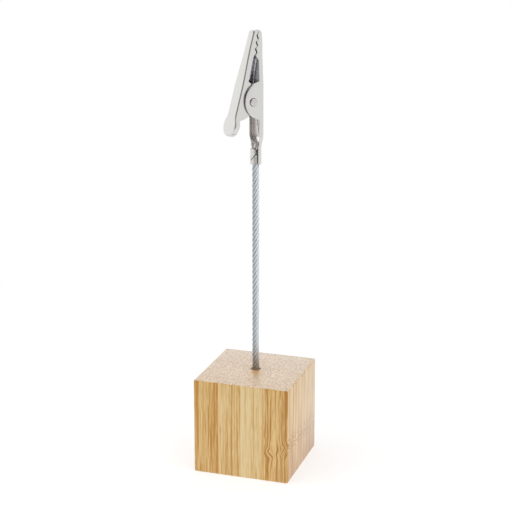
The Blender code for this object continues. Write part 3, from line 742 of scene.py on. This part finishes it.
def parting(side):
    """Corners (x, z) of a jaw's toothed edge from above the tips down. Side is 1 for the fixed jaw."""
    # Each corner has a height, the way its tooth points, and half of the gap and the shift in mm.
    levels = [(TEETH_TOP + TOOTH_PITCH, 0.8, V_GAP, BITE_SHIFT),
              (TEETH_TOP + (1 - TOOTH_LONG) * TOOTH_PITCH, 1, TIP_GAP, BITE_SHIFT)]
    for tooth, gap in enumerate(TOOTH_GAPS):
        top = TEETH_TOP - tooth * TOOTH_PITCH
        levels += [(top, -1, gap, BITE_SHIFT), (top - TOOTH_LONG * TOOTH_PITCH, 1, gap, BITE_SHIFT)]
    levels[-1] = (*levels[-1][:2], FOOT_GAP, FOOT_SHIFT)
    levels.append((TEETH_FOOT, -1, FOOT_GAP, FOOT_SHIFT))
    return [(PARTING_X - PARTING_LEAN * (TEETH_TOP - z) + way * TOOTH_DEPTH / 2 + side * gap * MM,
             z + side * shift * MM) for z, way, gap, shift in levels]


def tip_hollow(below_tip):
    return 1.0 if below_tip > TIP_SHUT else SHUT_WIDTH


def follow(value, corners):
    """The edge's place at a level, straight between its corners."""
    levels, places = zip(*sorted((level, place) for place, level in corners))
    return float(np.interp(value, levels, places))


print("corners of the parting line:", len(parting(1)))


# %% [markdown]
# ### The fixed jaw
#
# One pressing does four jobs. From the top it is a toothed jaw, a pair of ears for the rivet, an
# open channel, and at the bottom a sleeve whose long wing is wrapped round the rope: it has a
# slanting slit, and the leaf above the slit stands a little open. Its functions say where the
# spine, the sides and the edges are at height z above the sleeve's lower end.

# %% Fixed jaw: outline
FIXED_WIDTH = 6.0 * MM
FIXED_SPINE = 0.98 * MM
CHANNEL_RISE = 8.9 * MM
NOSE_BOW, NOSE_BOW_BACK = 0.62 * MM, 0.37 * MM
BOW_START = PIVOT_RISE + 3 * MM
TAPER_START = PIVOT_RISE + 4.7 * MM
FIXED_NOSE_SHARE = 0.4  # share of the tip's round that its spine takes
TAIL_WALL = 1.53 * MM
WINDOW_WALL = 1.63 * MM
WINDOW_TOP = TEETH_FOOT - WINDOW_POINT
EAR_RADIUS = 5.65 * MM
EAR_X = FIXED_SPINE - 0.63 * MM
EAR_Z = PIVOT_RISE + 0.25 * MM
CRIMP_RADIUS = 1.626 * MM
CRIMP_FLAT = 0.05 * MM  # half of the flat left on its back
CRIMP_SEAM = 0.3 * MM
NEAR_WING, OPEN_WING = radians(93), radians(105)
NEAR_WING_EDGE = 0.17 * MM  # the near wall's edge just above the crimp
SLIT_END = 2.83 * MM
LEAF_CORNER = 3.9 * MM
LEAF_REACH, LEAF_FOOT, LEAF_TOP = 241, 235, 210  # degrees round the rope
NEAR_CORNER, FAR_CORNER = (0.5 * MM, 22), (0.6 * MM, 26)  # height, and degrees cut off


def fixed_spine(z):
    if z < CHANNEL_RISE:
        return mix(CRIMP_RADIUS, FIXED_SPINE, ease(CRIMP_LENGTH, CHANNEL_RISE, z))
    top = TEETH_FOOT + TOOTH_PITCH
    bow = NOSE_BOW * ease(BOW_START, top, z)
    if z > top:
        bow -= NOSE_BOW_BACK * ((z - top) / (TIP_RISE - top)) ** 2
    return FIXED_SPINE + bow - FIXED_NOSE_SHARE * nose_round(TIP_RISE - z)


def fixed_half_width(z):
    if z < CHANNEL_RISE:
        return mix(CRIMP_RADIUS + CRIMP_FLAT, FIXED_WIDTH / 2, ease(CRIMP_LENGTH, CHANNEL_RISE, z))
    share = min(max((z - TAPER_START) / (TEETH_FOOT - TAPER_START), 0.0), 1.0)
    return mix(FIXED_WIDTH, NOSE_WIDTH, share) / 2 - NOSE_PINCH * nose_round(TIP_RISE - z)


def fixed_edge(z):
    """Where the side walls end at height z."""
    if z > WINDOW_TOP:
        return follow(z, [(fixed_spine(WINDOW_TOP) - WINDOW_WALL, WINDOW_TOP), *parting(1)])
    edge = fixed_spine(z) - (WINDOW_WALL if z > EAR_Z else TAIL_WALL)
    if z < CHANNEL_RISE:
        edge = FIXED_SPINE - TAIL_WALL
    drop = abs(z - EAR_Z)
    if drop < EAR_RADIUS:
        edge = min(edge, EAR_X - sqrt(EAR_RADIUS ** 2 - drop ** 2))
    return edge


def corner(z, size, degrees):
    """What a rounded lower corner takes off a wing at height z."""
    share = min(max((size - z) / size, 0.0), 1.0)
    return radians(degrees) * (1 - sqrt(1 - share ** 2))


def crimp_sweeps(z):
    """How far the near and the far wing wrap round the rope at height z."""
    near = NEAR_WING - corner(z, *NEAR_CORNER)
    if z > CRIMP_LENGTH:
        return near, OPEN_WING
    if z < SLIT_END:
        full = 2 * pi - CRIMP_SEAM / (CRIMP_RADIUS - SHEET) - NEAR_WING
        return near, full - corner(z, *FAR_CORNER)
    if z < LEAF_CORNER:
        return near, radians(mix(LEAF_REACH, LEAF_FOOT, ((LEAF_CORNER - z) / FAR_CORNER[0]) ** 2))
    share = (z - LEAF_CORNER) / (CRIMP_LENGTH - LEAF_CORNER)
    return near, radians(mix(LEAF_REACH, LEAF_TOP, share ** 2.5))


def fixed_row(z, thinned=0.0):
    """The section at height z, a sleeve in the crimp and a channel above it."""
    crimped = 1 - ease(CRIMP_LENGTH, CHANNEL_RISE, z)
    spine, fold = fixed_spine(z), mix(FOLD, CRIMP_RADIUS, crimped)
    halves = []
    for wing, low_edge in zip(crimp_sweeps(z), (NEAR_WING_EDGE, FIXED_SPINE - TAIL_WALL)):
        sweep, wall = wing, LEAST_WALL
        if z > CRIMP_LENGTH:
            sweep = mix(pi / 2, wing, crimped)
            edge = mix(fixed_edge(z), low_edge, crimped)
            reach = spine - fold + fold * cos(sweep) - edge
            wall = max(reach / sin(sweep), LEAST_WALL)
        halves.append((sweep, wall))
    loop = section(spine, fixed_half_width(z), fold, halves, thinned, tip_hollow(TIP_RISE - z))
    return [(x, y, z, inside) for x, y, inside in loop]


print("width over the ears in mm:", round(fixed_half_width(PIVOT_RISE) * 2000, 2))


# %% [markdown]
# ### The fixed jaw's rows, holes and slit
#
# Rows lie close together where the outline turns, and a step in a wing's reach needs two almost on
# top of each other. Two holes are drilled, and the slit is sawn with a thin slanting box.

# %% Fixed jaw: rows and cuts
STEP_GAP = 0.04 * MM
RIVET_HOLE = 0.87 * MM
TAIL_HOLE, TAIL_HOLE_RISE, DRILL_REACH = 0.95 * MM, 7.3 * MM, 1.2 * MM
CRIMP_FRONT = radians(-122)  # the way the crimp's slit faces, in the clip's own frame
SLIT_SLOPE = radians(53.5)
SLIT_MIDDLE = (-0.7 * MM, 2.3 * MM)  # across and up
SAW = (3.0 * MM, 1.8 * MM, 0.22 * MM)
SAW_OUT = 1.2 * MM  # from the rope's axis to the saw's middle
CLIP = Matrix.Translation((0.0, 0.0, CLIP_BASE)) @ Matrix.Rotation(CLIP_TURN, 4, "Z")
SIDEWAYS = Matrix.Rotation(pi / 2, 4, "X")
PIVOT_DEPTH = 3.68 * MM
PIVOT_X = FIXED_SPINE - PIVOT_DEPTH
RIVET = Matrix.Translation((PIVOT_X, 0.0, PIVOT_RISE))


def tip_levels():
    """Distances below a tip at which its round and its pressed end need rows."""
    round_levels = [NOSE_ROUND * (1 - cos(pi / 2 * step / 7)) for step in range(1, 7)]
    return round_levels + [TIP_SHUT * share for share in (0.97, 1.03)]


def ear_levels(middle, radius, reach):
    """Heights at which a round ear needs rows: every 5 degrees up to its reach, and its ends."""
    return [middle + radius * sin(radians(angle)) for angle in (-90, *range(-reach, reach + 1, 5), 90)]


def drill_for_rivet(mesh, place):
    return drill(mesh, RIVET_HOLE, -FIXED_WIDTH, FIXED_WIDTH, place @ SIDEWAYS)


levels = [TIP_RISE - below for below in tip_levels()]
levels += [z for _, z in parting(1)[1:]] + ear_levels(EAR_Z, EAR_RADIUS, 80)
levels += [WINDOW_TOP, CHANNEL_RISE, CRIMP_LENGTH + STEP_GAP, SLIT_END + STEP_GAP, SLIT_END - STEP_GAP]
levels += [CRIMP_LENGTH - (CRIMP_LENGTH - LEAF_CORNER) * (step / 6) ** 1.5 for step in range(7)]
levels += [NEAR_CORNER[0] * step / 5 for step in range(1, 6)]
levels = fill([z for z in levels if RIM < z < TIP_RISE - RIM / 2])
rows = [fixed_row(0.0, RIM), fixed_row(RIM_DEEP, RIM_SHORT), fixed_row(RIM)]
rows += [fixed_row(z) for z in levels]
rows += [fixed_row(TIP_RISE - RIM / 4), fixed_row(TIP_RISE, RIM / 2)]
fixed = drill_for_rivet(hoops("fixed_jaw_sheet", rows), RIVET)
hole = Matrix.Translation((fixed_spine(TAIL_HOLE_RISE), 0.0, TAIL_HOLE_RISE))
hole @= Matrix.Rotation(pi / 2, 4, "Y")
fixed = drill(fixed, TAIL_HOLE, -DRILL_REACH, DRILL_REACH, hole)

front = Vector((cos(CRIMP_FRONT), sin(CRIMP_FRONT), 0.0))
across = Vector((-front.y, front.x, 0.0))
along = across * cos(SLIT_SLOPE) + Vector((0.0, 0.0, sin(SLIT_SLOPE)))
middle = across * SLIT_MIDDLE[0] + front * SAW_OUT + Vector((0.0, 0.0, SLIT_MIDDLE[1]))
bm = bmesh.new()
bmesh.ops.create_cube(bm, size=1.0)
bmesh.ops.scale(bm, vec=SAW, verts=bm.verts)
turn = Matrix((along, front, along.cross(front))).transposed().to_4x4()
bmesh.ops.transform(bm, matrix=Matrix.Translation(middle) @ turn, verts=bm.verts)
bmesh.ops.recalc_face_normals(bm, faces=bm.faces)
fixed = carve(fixed, to_mesh(bm, "saw"))
print("fixed jaw rows:", len(rows), "faces:", len(fixed.polygons))


# %% [markdown]
# ### The fixed jaw's finishes
#
# A face's place and the way it looks pick its finish: painted bluish shade between the teeth and on the
# spine's inside above the rivet, a painted highlight on the other inner walls above the rivet, a rougher
# copy darkened as painted shade in the channel below it, plain plating outside.

# %% Fixed jaw: finishes
for skin in fixed.polygons:
    z, inside = skin.center.z, skin.material_index == 1
    rim = skin.normal.x < -0.3 and abs(skin.normal.y) < 0.5
    # Painted bluish shade in the nose and on the spine's inside above the rivet; a painted highlight on the
    # other inner walls above it.
    if WINDOW_TOP < z < TIP_RISE - TIP_SHUT and (inside or rim) or z > PIVOT_RISE and skin.normal.x < -0.9:
        skin.material_index = 2
    elif z > PIVOT_RISE and inside:
        skin.material_index = 3
fixed.transform(CLIP)
finished(fixed, 35, nickel, nickel_inside, nickel_painted_deep_shade, nickel_painted_highlight)
put(fixed, "fixed_jaw_sheet", "base", "fixed_jaw")
print("dim faces in the nose:", sum(skin.material_index == 2 for skin in fixed.polygons))


# %% [markdown]
# ### The lever
#
# The lever is drawn in its own frame: depth from the rivet and distance below it along the
# lever. Its last rows fan out like the ribs of a shell round the middle of the thumb pad, so the
# fold runs right round the pad's end without a seam.

# %% Lever: outline
LEVER_DEPTH = 4.4 * MM
LEVER_TILT = radians(15.9)
LEVER_WIDTH = 4.6 * MM
LEVER_TAPER = (2 * MM, 16 * MM)  # above the rivet
LEVER_NOSE_SHARE = 0.2
LEVER_TOP = (TIP_RISE - PIVOT_RISE - LEVER_DEPTH * sin(LEVER_TILT)) / cos(LEVER_TILT)
LEVER_EAR = 6.0 * MM
LEVER_EAR_DROP = 0.35 * MM
LEVER_WINDOW = 1.75 * MM
PAD_WIDTH = 6.7 * MM
PAD_SKIRT = 1.7 * MM
PAD_START = 4.8 * MM
PAD_MIDDLE = 11.3 * MM - PAD_WIDTH / 2


def on_lever(x, z):
    """A point of the clip's frame, in the lever's."""
    side, rise = x - PIVOT_X, z - PIVOT_RISE
    level, steep = cos(LEVER_TILT), sin(LEVER_TILT)
    return side * level - rise * steep, -side * steep - rise * level


lever_teeth = [on_lever(*place) for place in parting(-1)]
LEVER_WINDOW_TOP = lever_teeth[-1][1] + WINDOW_POINT


def lever_edge(below):
    """How far from the rivet the side walls end."""
    if below < LEVER_WINDOW_TOP:
        return follow(below, [*lever_teeth, (LEVER_WINDOW - LEVER_DEPTH, LEVER_WINDOW_TOP)])
    edge = (LEVER_WINDOW if below < 0 else PAD_SKIRT) - LEVER_DEPTH
    drop = abs(below - LEVER_EAR_DROP)
    if drop < LEVER_EAR:
        edge = max(edge, sqrt(LEVER_EAR ** 2 - drop ** 2) - LEVER_DEPTH)
    return edge


def lever_half_width(below):
    half = mix(LEVER_WIDTH, NOSE_WIDTH, ease(*LEVER_TAPER, -below)) / 2
    half += (PAD_WIDTH - LEVER_WIDTH) / 2 * ease(PAD_START, PAD_MIDDLE, below)
    return half - NOSE_PINCH * nose_round(LEVER_TOP + below)


def lever_row(below, thinned=0.0):
    """A section across the lever. Near the tip it is turned level with the other jaw's."""
    spine = LEVER_DEPTH - LEVER_NOSE_SHARE * nose_round(LEVER_TOP + below)
    wall = max(lever_edge(below) + spine - FOLD, LEAST_WALL)
    loop = section(spine, lever_half_width(below), FOLD, [(pi / 2, wall)] * 2, thinned,
                   tip_hollow(LEVER_TOP + below))
    level = tan(LEVER_TILT) * (1 - ease(0.0, TIP_RISE - TEETH_TOP, LEVER_TOP + below))
    return [(-depth, width, level * (spine - depth) - below, inside) for depth, width, inside in loop]


def pad_row(angle):
    """A section turned about the middle of the pad."""
    loop = section(LEVER_DEPTH, PAD_WIDTH / 2, FOLD, [(pi / 2, PAD_SKIRT - FOLD)] * 2)
    return [(-depth, width * cos(angle), -PAD_MIDDLE - abs(width) * sin(angle), inside)
            for depth, width, inside in loop]


print("lever from tip to pad's end in mm:", round((LEVER_TOP + PAD_MIDDLE + PAD_WIDTH / 2) * 1000, 1))


# %% [markdown]
# ### The lever's rows and finishes
#
# It is made as the fixed jaw is. Painted bluish shade lies inside its nose, and painted shade in its
# near fold, just below the tip, makes the small dark hook at the fold's upper end.

# %% Lever: rows and finishes
HOOK = 0.75 * MM  # the painted shade ends this far below the tip

levels = [below - LEVER_TOP for below in tip_levels()]
levels += [below for _, below in lever_teeth[1:]] + ear_levels(LEVER_EAR_DROP, LEVER_EAR, 75)
levels += [LEVER_WINDOW_TOP, PAD_MIDDLE]
levels = fill([below for below in levels if below > RIM / 2 - LEVER_TOP])
rows = [lever_row(-LEVER_TOP, RIM / 2), lever_row(RIM / 4 - LEVER_TOP)]
rows += [lever_row(below) for below in levels]
rows += [pad_row(pi / 2 * step / 14) for step in range(1, 15)]
lever = drill_for_rivet(hoops("lever_sheet", rows, closed_end=True), Matrix())
for skin in lever.polygons:
    below_tip = LEVER_TOP - skin.center.z
    rim = skin.normal.x > 0.3 and abs(skin.normal.y) < 0.5
    # Painted bluish shade inside the nose, on the inner faces and rims.
    if TIP_SHUT < below_tip < LEVER_TOP + LEVER_WINDOW_TOP and (skin.material_index == 1 or rim):
        skin.material_index = 2
    # Painted shade in the near fold just below the tip.
    elif below_tip < HOOK and skin.normal.x < -0.3 and skin.normal.y < -0.3:
        skin.material_index = 3
lever.transform(CLIP @ RIVET @ Matrix.Rotation(LEVER_TILT, 4, "Y"))
finished(lever, 35, nickel, nickel_inside, nickel_painted_deep_shade, nickel_painted_fold_shade)
put(lever, "lever_sheet", "lever", "lever_jaw")
print("lever faces:", len(lever.polygons))


# %% [markdown]
# ### The rivet
#
# The rivet is turned: half of its outline, from the middle of one head to the middle of the
# other, is spun round its axis. Both heads have a rounded rim so that they catch the light and a
# worn, warmer middle. Their sides and a thin ring where they meet the jaw's ears carry painted shade.

# %% Rivet
HEAD, SHANK = 1.1 * MM, 0.75 * MM
HEAD_SIDE = 0.1 * MM  # straight side below the rounded rim
HEAD_ROUND = (0.34 * MM, 0.32 * MM)
SHADE_RING = 0.15 * MM
WORN = 0.7  # share of the head that fingers have rubbed


def spun(name, outline):
    """A solid spun round z from (radius, height) points that start and end on the axis."""
    bm = bmesh.new()
    rings = [[bm.verts.new((r * cos(a), r * sin(a), z)) for r, z in outline]
             for a in (2 * pi * step / 48 for step in range(48))]
    for here, there in zip(rings, rings[1:] + rings[:1]):
        for row in range(len(outline) - 1):
            corners = dict.fromkeys((here[row], there[row], there[row + 1], here[row + 1]))
            bm.faces.new(list(corners))
    bmesh.ops.remove_doubles(bm, verts=bm.verts, dist=MERGE)
    bmesh.ops.recalc_face_normals(bm, faces=bm.faces)
    return to_mesh(bm, name)


ear = FIXED_WIDTH / 2
dome = [(HEAD + SHADE_RING, 0.01 * MM), (HEAD + SHADE_RING - 0.01 * MM, 0.02 * MM), (HEAD, 0.03 * MM)]
dome += [(HEAD - HEAD_ROUND[0] * (1 - cos(a)), HEAD_SIDE + HEAD_ROUND[1] * sin(a))
         for a in (pi / 2 * step / 8 for step in range(9))]
dome += [(0.4 * HEAD, 0.44 * MM), (0.0, 0.45 * MM)]
outline = [(r, -ear - rise) for r, rise in reversed(dome)]
outline += [(SHANK, -ear - 0.02 * MM), (SHANK, ear + 0.02 * MM)]
outline += [(r, ear + rise) for r, rise in dome]
rivet = spun("rivet_turned", outline)
for skin in rivet.polygons:
    out = hypot(skin.center.x, skin.center.y)
    # The heads' sides and the ring round them get the painted shade.
    skin.material_index = 1 if abs(skin.normal.z) < 0.45 or out > HEAD else 2 if out < WORN * HEAD else 0
rivet.transform(CLIP @ RIVET @ SIDEWAYS)
finished(rivet, 35, nickel, painted_rim_shade, nickel_inside)
put(rivet, "rivet_turned", "base", "jaw_rivet")
print("rivet faces:", len(rivet.polygons))


# %% [markdown]
# ### The glue
#
# The rope is set in its socket with glue, which climbs a little up the strands. Only the brown
# ring round the rope's foot shows.

# %% Glue
GLUE_FOOT = BLOCK_HEIGHT - SOCKET_DEPTH + 1.6 * MM
GLUE_RIM = BLOCK_HEIGHT - 0.12 * MM
GLUE_CLIMB = 0.4 * MM
ROPE_SIDE = 0.98 * MM  # where the glue meets the rope

outline = [(0.0, GLUE_FOOT), (SOCKET_RADIUS, GLUE_FOOT), (SOCKET_RADIUS, GLUE_RIM)]
outline += [(mix(SOCKET_RADIUS, ROPE_SIDE, share), GLUE_RIM + GLUE_CLIMB * share ** 3)
            for share in (step / 6 for step in range(7))]
outline.append((0.0, GLUE_RIM + GLUE_CLIMB))
glue = spun("glue_ring", outline)
put(finished(glue, 40, adhesive), "glue_ring", "base", "stem_glue")
print("glue faces:", len(glue.polygons))


# %% [markdown]
# ### The torsion spring
#
# The spring is one wire: a leg on the fixed jaw, two turns round the rivet and a leg under the
# lever. When the lever opens the coil winds up.

# %% Spring
WIRE = 0.6 * MM
COIL_RADIUS = 1.45 * MM
COIL_PITCH = 1.1 * MM
COIL_TURNS = 2
SEAT_GAP = 0.15 * MM
TAIL_LEG, LEVER_LEG = 10.1 * MM, 8.8 * MM
LEG_STEPS = 6


def spring_line():
    """Middle line of the wire, about the rivet, and half of the coil's width."""
    seat = SHEET + SEAT_GAP + WIRE / 2
    tail = (PIVOT_DEPTH - seat, -TAIL_LEG)
    depth = seat - LEVER_DEPTH
    level, steep = cos(LEVER_TILT), sin(LEVER_TILT)
    pad = (depth * level - LEVER_LEG * steep, -depth * steep - LEVER_LEG * level)
    start = atan2(tail[1], tail[0]) + acos(COIL_RADIUS / hypot(*tail))
    end = atan2(pad[1], pad[0]) - acos(COIL_RADIUS / hypot(*pad))
    while end < start:
        end += 2 * pi
    end += COIL_TURNS * 2 * pi
    turns = (end - start) / (2 * pi)
    side = turns * COIL_PITCH / 2
    count = ceil(turns * 28)
    coil = []
    for step in range(count + 1):
        angle = mix(start, end, step / count)
        coil.append(Vector((COIL_RADIUS * cos(angle), mix(-side, side, step / count),
                            COIL_RADIUS * sin(angle))))
    first, last = Vector((tail[0], -side, tail[1])), Vector((pad[0], side, pad[1]))
    return [*(first.lerp(coil[0], step / LEG_STEPS) for step in range(LEG_STEPS)), *coil,
            *(coil[-1].lerp(last, step / LEG_STEPS) for step in range(1, LEG_STEPS + 1))], side


line, side = spring_line()
curve = bpy.data.curves.new("spring_curve", "CURVE")
curve.dimensions = "3D"
curve.bevel_depth = WIRE / 2
curve.bevel_resolution = 4
curve.use_fill_caps = True
spline = curve.splines.new("POLY")
spline.points.add(len(line) - 1)
for point, at in zip(spline.points, line):
    point.co = (*at, 1.0)
spline.use_smooth = True
maker = new_object("spring_maker", curve)
spring = evaluated_mesh(maker)
bpy.data.objects.remove(maker)
spring.transform(CLIP @ RIVET)
spring.materials.clear()
coil = new_object("spring_wire", finished(spring, 50, spring_steel))
centre = CLIP @ RIVET.translation
axis = (CLIP.to_3x3() @ Vector((0.0, 1.0, 0.0))).normalized()
centre - axis * side
centre + axis * side
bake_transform(coil)
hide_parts("torsion_spring")
print("spring faces:", len(spring.polygons))


# %% [markdown]
# ## Camera
#
# The camera stands a little to the right and looks down by 16 degrees, as the photographer's did.
# Its matrix is put together from three directions: to the right, up, and back to the camera.

# %% Camera
CAMERA_AZIMUTH, CAMERA_RISE = 18.165, 15.829
CAMERA_DISTANCE = 406.25 * MM
CAMERA_LENS = 95.07
AIM = (0.06 * MM, -3.738 * MM)  # to the right of and above the point 70 mm up the stem


def facing(azimuth, rise):
    """Unit vectors towards, to the right of and above a viewer at that azimuth and rise in degrees."""
    azimuth, rise = radians(azimuth), radians(rise)
    back = Vector((sin(azimuth) * cos(rise), -cos(azimuth) * cos(rise), sin(rise)))
    right = Vector((cos(azimuth), sin(azimuth), 0.0))
    return back, right, back.cross(right)


def stand(thing, place, back, right, up):
    """Puts a camera or a lamp at a place, looking away from back."""
    thing.matrix_world = Matrix.Translation(place) @ Matrix((right, up, back)).transposed().to_4x4()


back, right, up = facing(CAMERA_AZIMUTH, CAMERA_RISE)
aim = Vector((0.0, 0.0, 70 * MM)) + right * AIM[0] + up * AIM[1]
camera = new_object("camera", bpy.data.cameras.new("camera"))
stand(camera, aim + back * CAMERA_DISTANCE, back, right, up)
camera.data.sensor_width = 36.0
camera.data.lens = CAMERA_LENS
camera.data.clip_start = 0.01
camera.data.clip_end = 20.0
SCENE.camera = camera
print("camera at:", [round(v, 3) for v in camera.matrix_world.translation])


# %% [markdown]
# ## Floor
#
# The picture is a cut-out on white. The floor glows a little, so that it comes out white but keeps
# the block's soft shadow, and it turns to plain white further out.

# %% Floor
WHITE = (1.0, 1.0, 1.0, 1.0)
FLOOR_GLOW = 0.62
FLOOR_SIZE = (1.2, 0.9)
FLOOR_PLACE = Vector((0.0, 0.05, -0.02 * MM))

mesh = bpy.data.meshes.new("floor")
mesh.from_pydata([FLOOR_PLACE + Vector((x * FLOOR_SIZE[0] / 2, y * FLOOR_SIZE[1] / 2, 0.0))
                  for x, y in ((-1, -1), (1, -1), (1, 1), (-1, 1))], [], [(0, 1, 2, 3)])
floor = new_object("floor", mesh)
paper, tree, shader = new_material(
    "floor_paper", Base_Color=(0.5, 0.5, 0.5, 1.0), Roughness=0.9, Specular_IOR_Level=0.0,
    Emission_Color=WHITE, Emission_Strength=FLOOR_GLOW)
where = add(tree, "ShaderNodeTexCoord").outputs["Object"]
reach = add(tree, "ShaderNodeVectorMath", {"operation": "LENGTH"}, i0=where).outputs["Value"]
distant = add(tree, "ShaderNodeEmission", Color=WHITE, Strength=1.0)
sheet = add(tree, "ShaderNodeMixShader", i0=Number(reach).between(0.1, 0.22), i1=shader, i2=distant)
feed(tree.nodes["Material Output"], i0=sheet)
mesh.materials.append(paper)
print("floor in m:", FLOOR_SIZE)


# %% [markdown]
# ## Lamps
#
# Three large soft panels light the object: one above, one from the left and one from the right.
# Metal would mirror them as hard squares, so they are hidden from reflections.

# %% Lamps
def lamp(name, azimuth, rise, distance, width, height, power):
    """A soft panel that points at the middle of the object."""
    data = bpy.data.lights.new(name, "AREA")
    data.shape = "RECTANGLE"
    data.size, data.size_y, data.energy = width, height, power
    light = new_object(name, data)
    back, right, up = facing(azimuth, rise)
    stand(light, Vector((0.0, 0.0, 60 * MM)) + back * distance, back, right, up)
    light.visible_glossy = False


lamp("overhead", 0.0, 88.0, 1.2, 1.6, 1.6, 6.0)
lamp("left panel", -60.0, 30.0, 1.1, 1.0, 1.2, 3.5)
lamp("right panel", 70.0, 25.0, 1.2, 0.9, 1.2, 3.0)
print("lamps:", len(bpy.data.lights))


# %% [markdown]
# ## The room
#
# The camera sees pure white, matt faces get a dimmer white, and reflections see a white room with a
# dim patch where the photographer stood. That patch draws the dark line along the lever's rounded
# fold. To the left the room is a little brighter.

# %% The room
ROOM_LIGHT = 0.42  # of the room on matt faces
ROOM_SHINE = 1.0  # and in reflections
ROOM_DARK = 0.3  # behind the camera, in reflections
DARK_PATCH = (8.0, 18.0)  # its azimuth and rise
DARK_INNER, DARK_OUTER = cos(radians(36)), cos(radians(52))
BRIGHT_SIDE = (-98.0, 18.0)
BRIGHT_GAIN = 1.13

world = bpy.data.worlds.new("studio")
SCENE.world = world
world.use_nodes = True
tree = world.node_tree
tree.nodes.clear()
direction = add(tree, "ShaderNodeTexCoord").outputs["Generated"]


def towards(azimuth, rise):
    """1 for rays that point at that azimuth and rise, less for the others."""
    node = add(tree, "ShaderNodeVectorMath", {"operation": "DOT_PRODUCT"}, i0=direction,
               i1=tuple(facing(azimuth, rise)[0]))
    return Number(node.outputs["Value"])


def background(strength):
    return add(tree, "ShaderNodeBackground", Color=WHITE, Strength=strength)


bright = (towards(*DARK_PATCH).between(DARK_OUTER, DARK_INNER, ROOM_SHINE, ROOM_DARK)
          * towards(*BRIGHT_SIDE).between(0.6, 0.9, 1.0, BRIGHT_GAIN))
rays = add(tree, "ShaderNodeLightPath").outputs
lit = add(tree, "ShaderNodeMixShader", i0=rays["Is Glossy Ray"], i1=background(ROOM_LIGHT),
          i2=background(bright))
shows = add(tree, "ShaderNodeMixShader", i0=rays["Is Camera Ray"], i1=lit, i2=background(1.0))
add(tree, "ShaderNodeOutputWorld", i0=shows)
SCENE.view_settings.view_transform = "Standard"
print("nodes in the room:", len(tree.nodes))
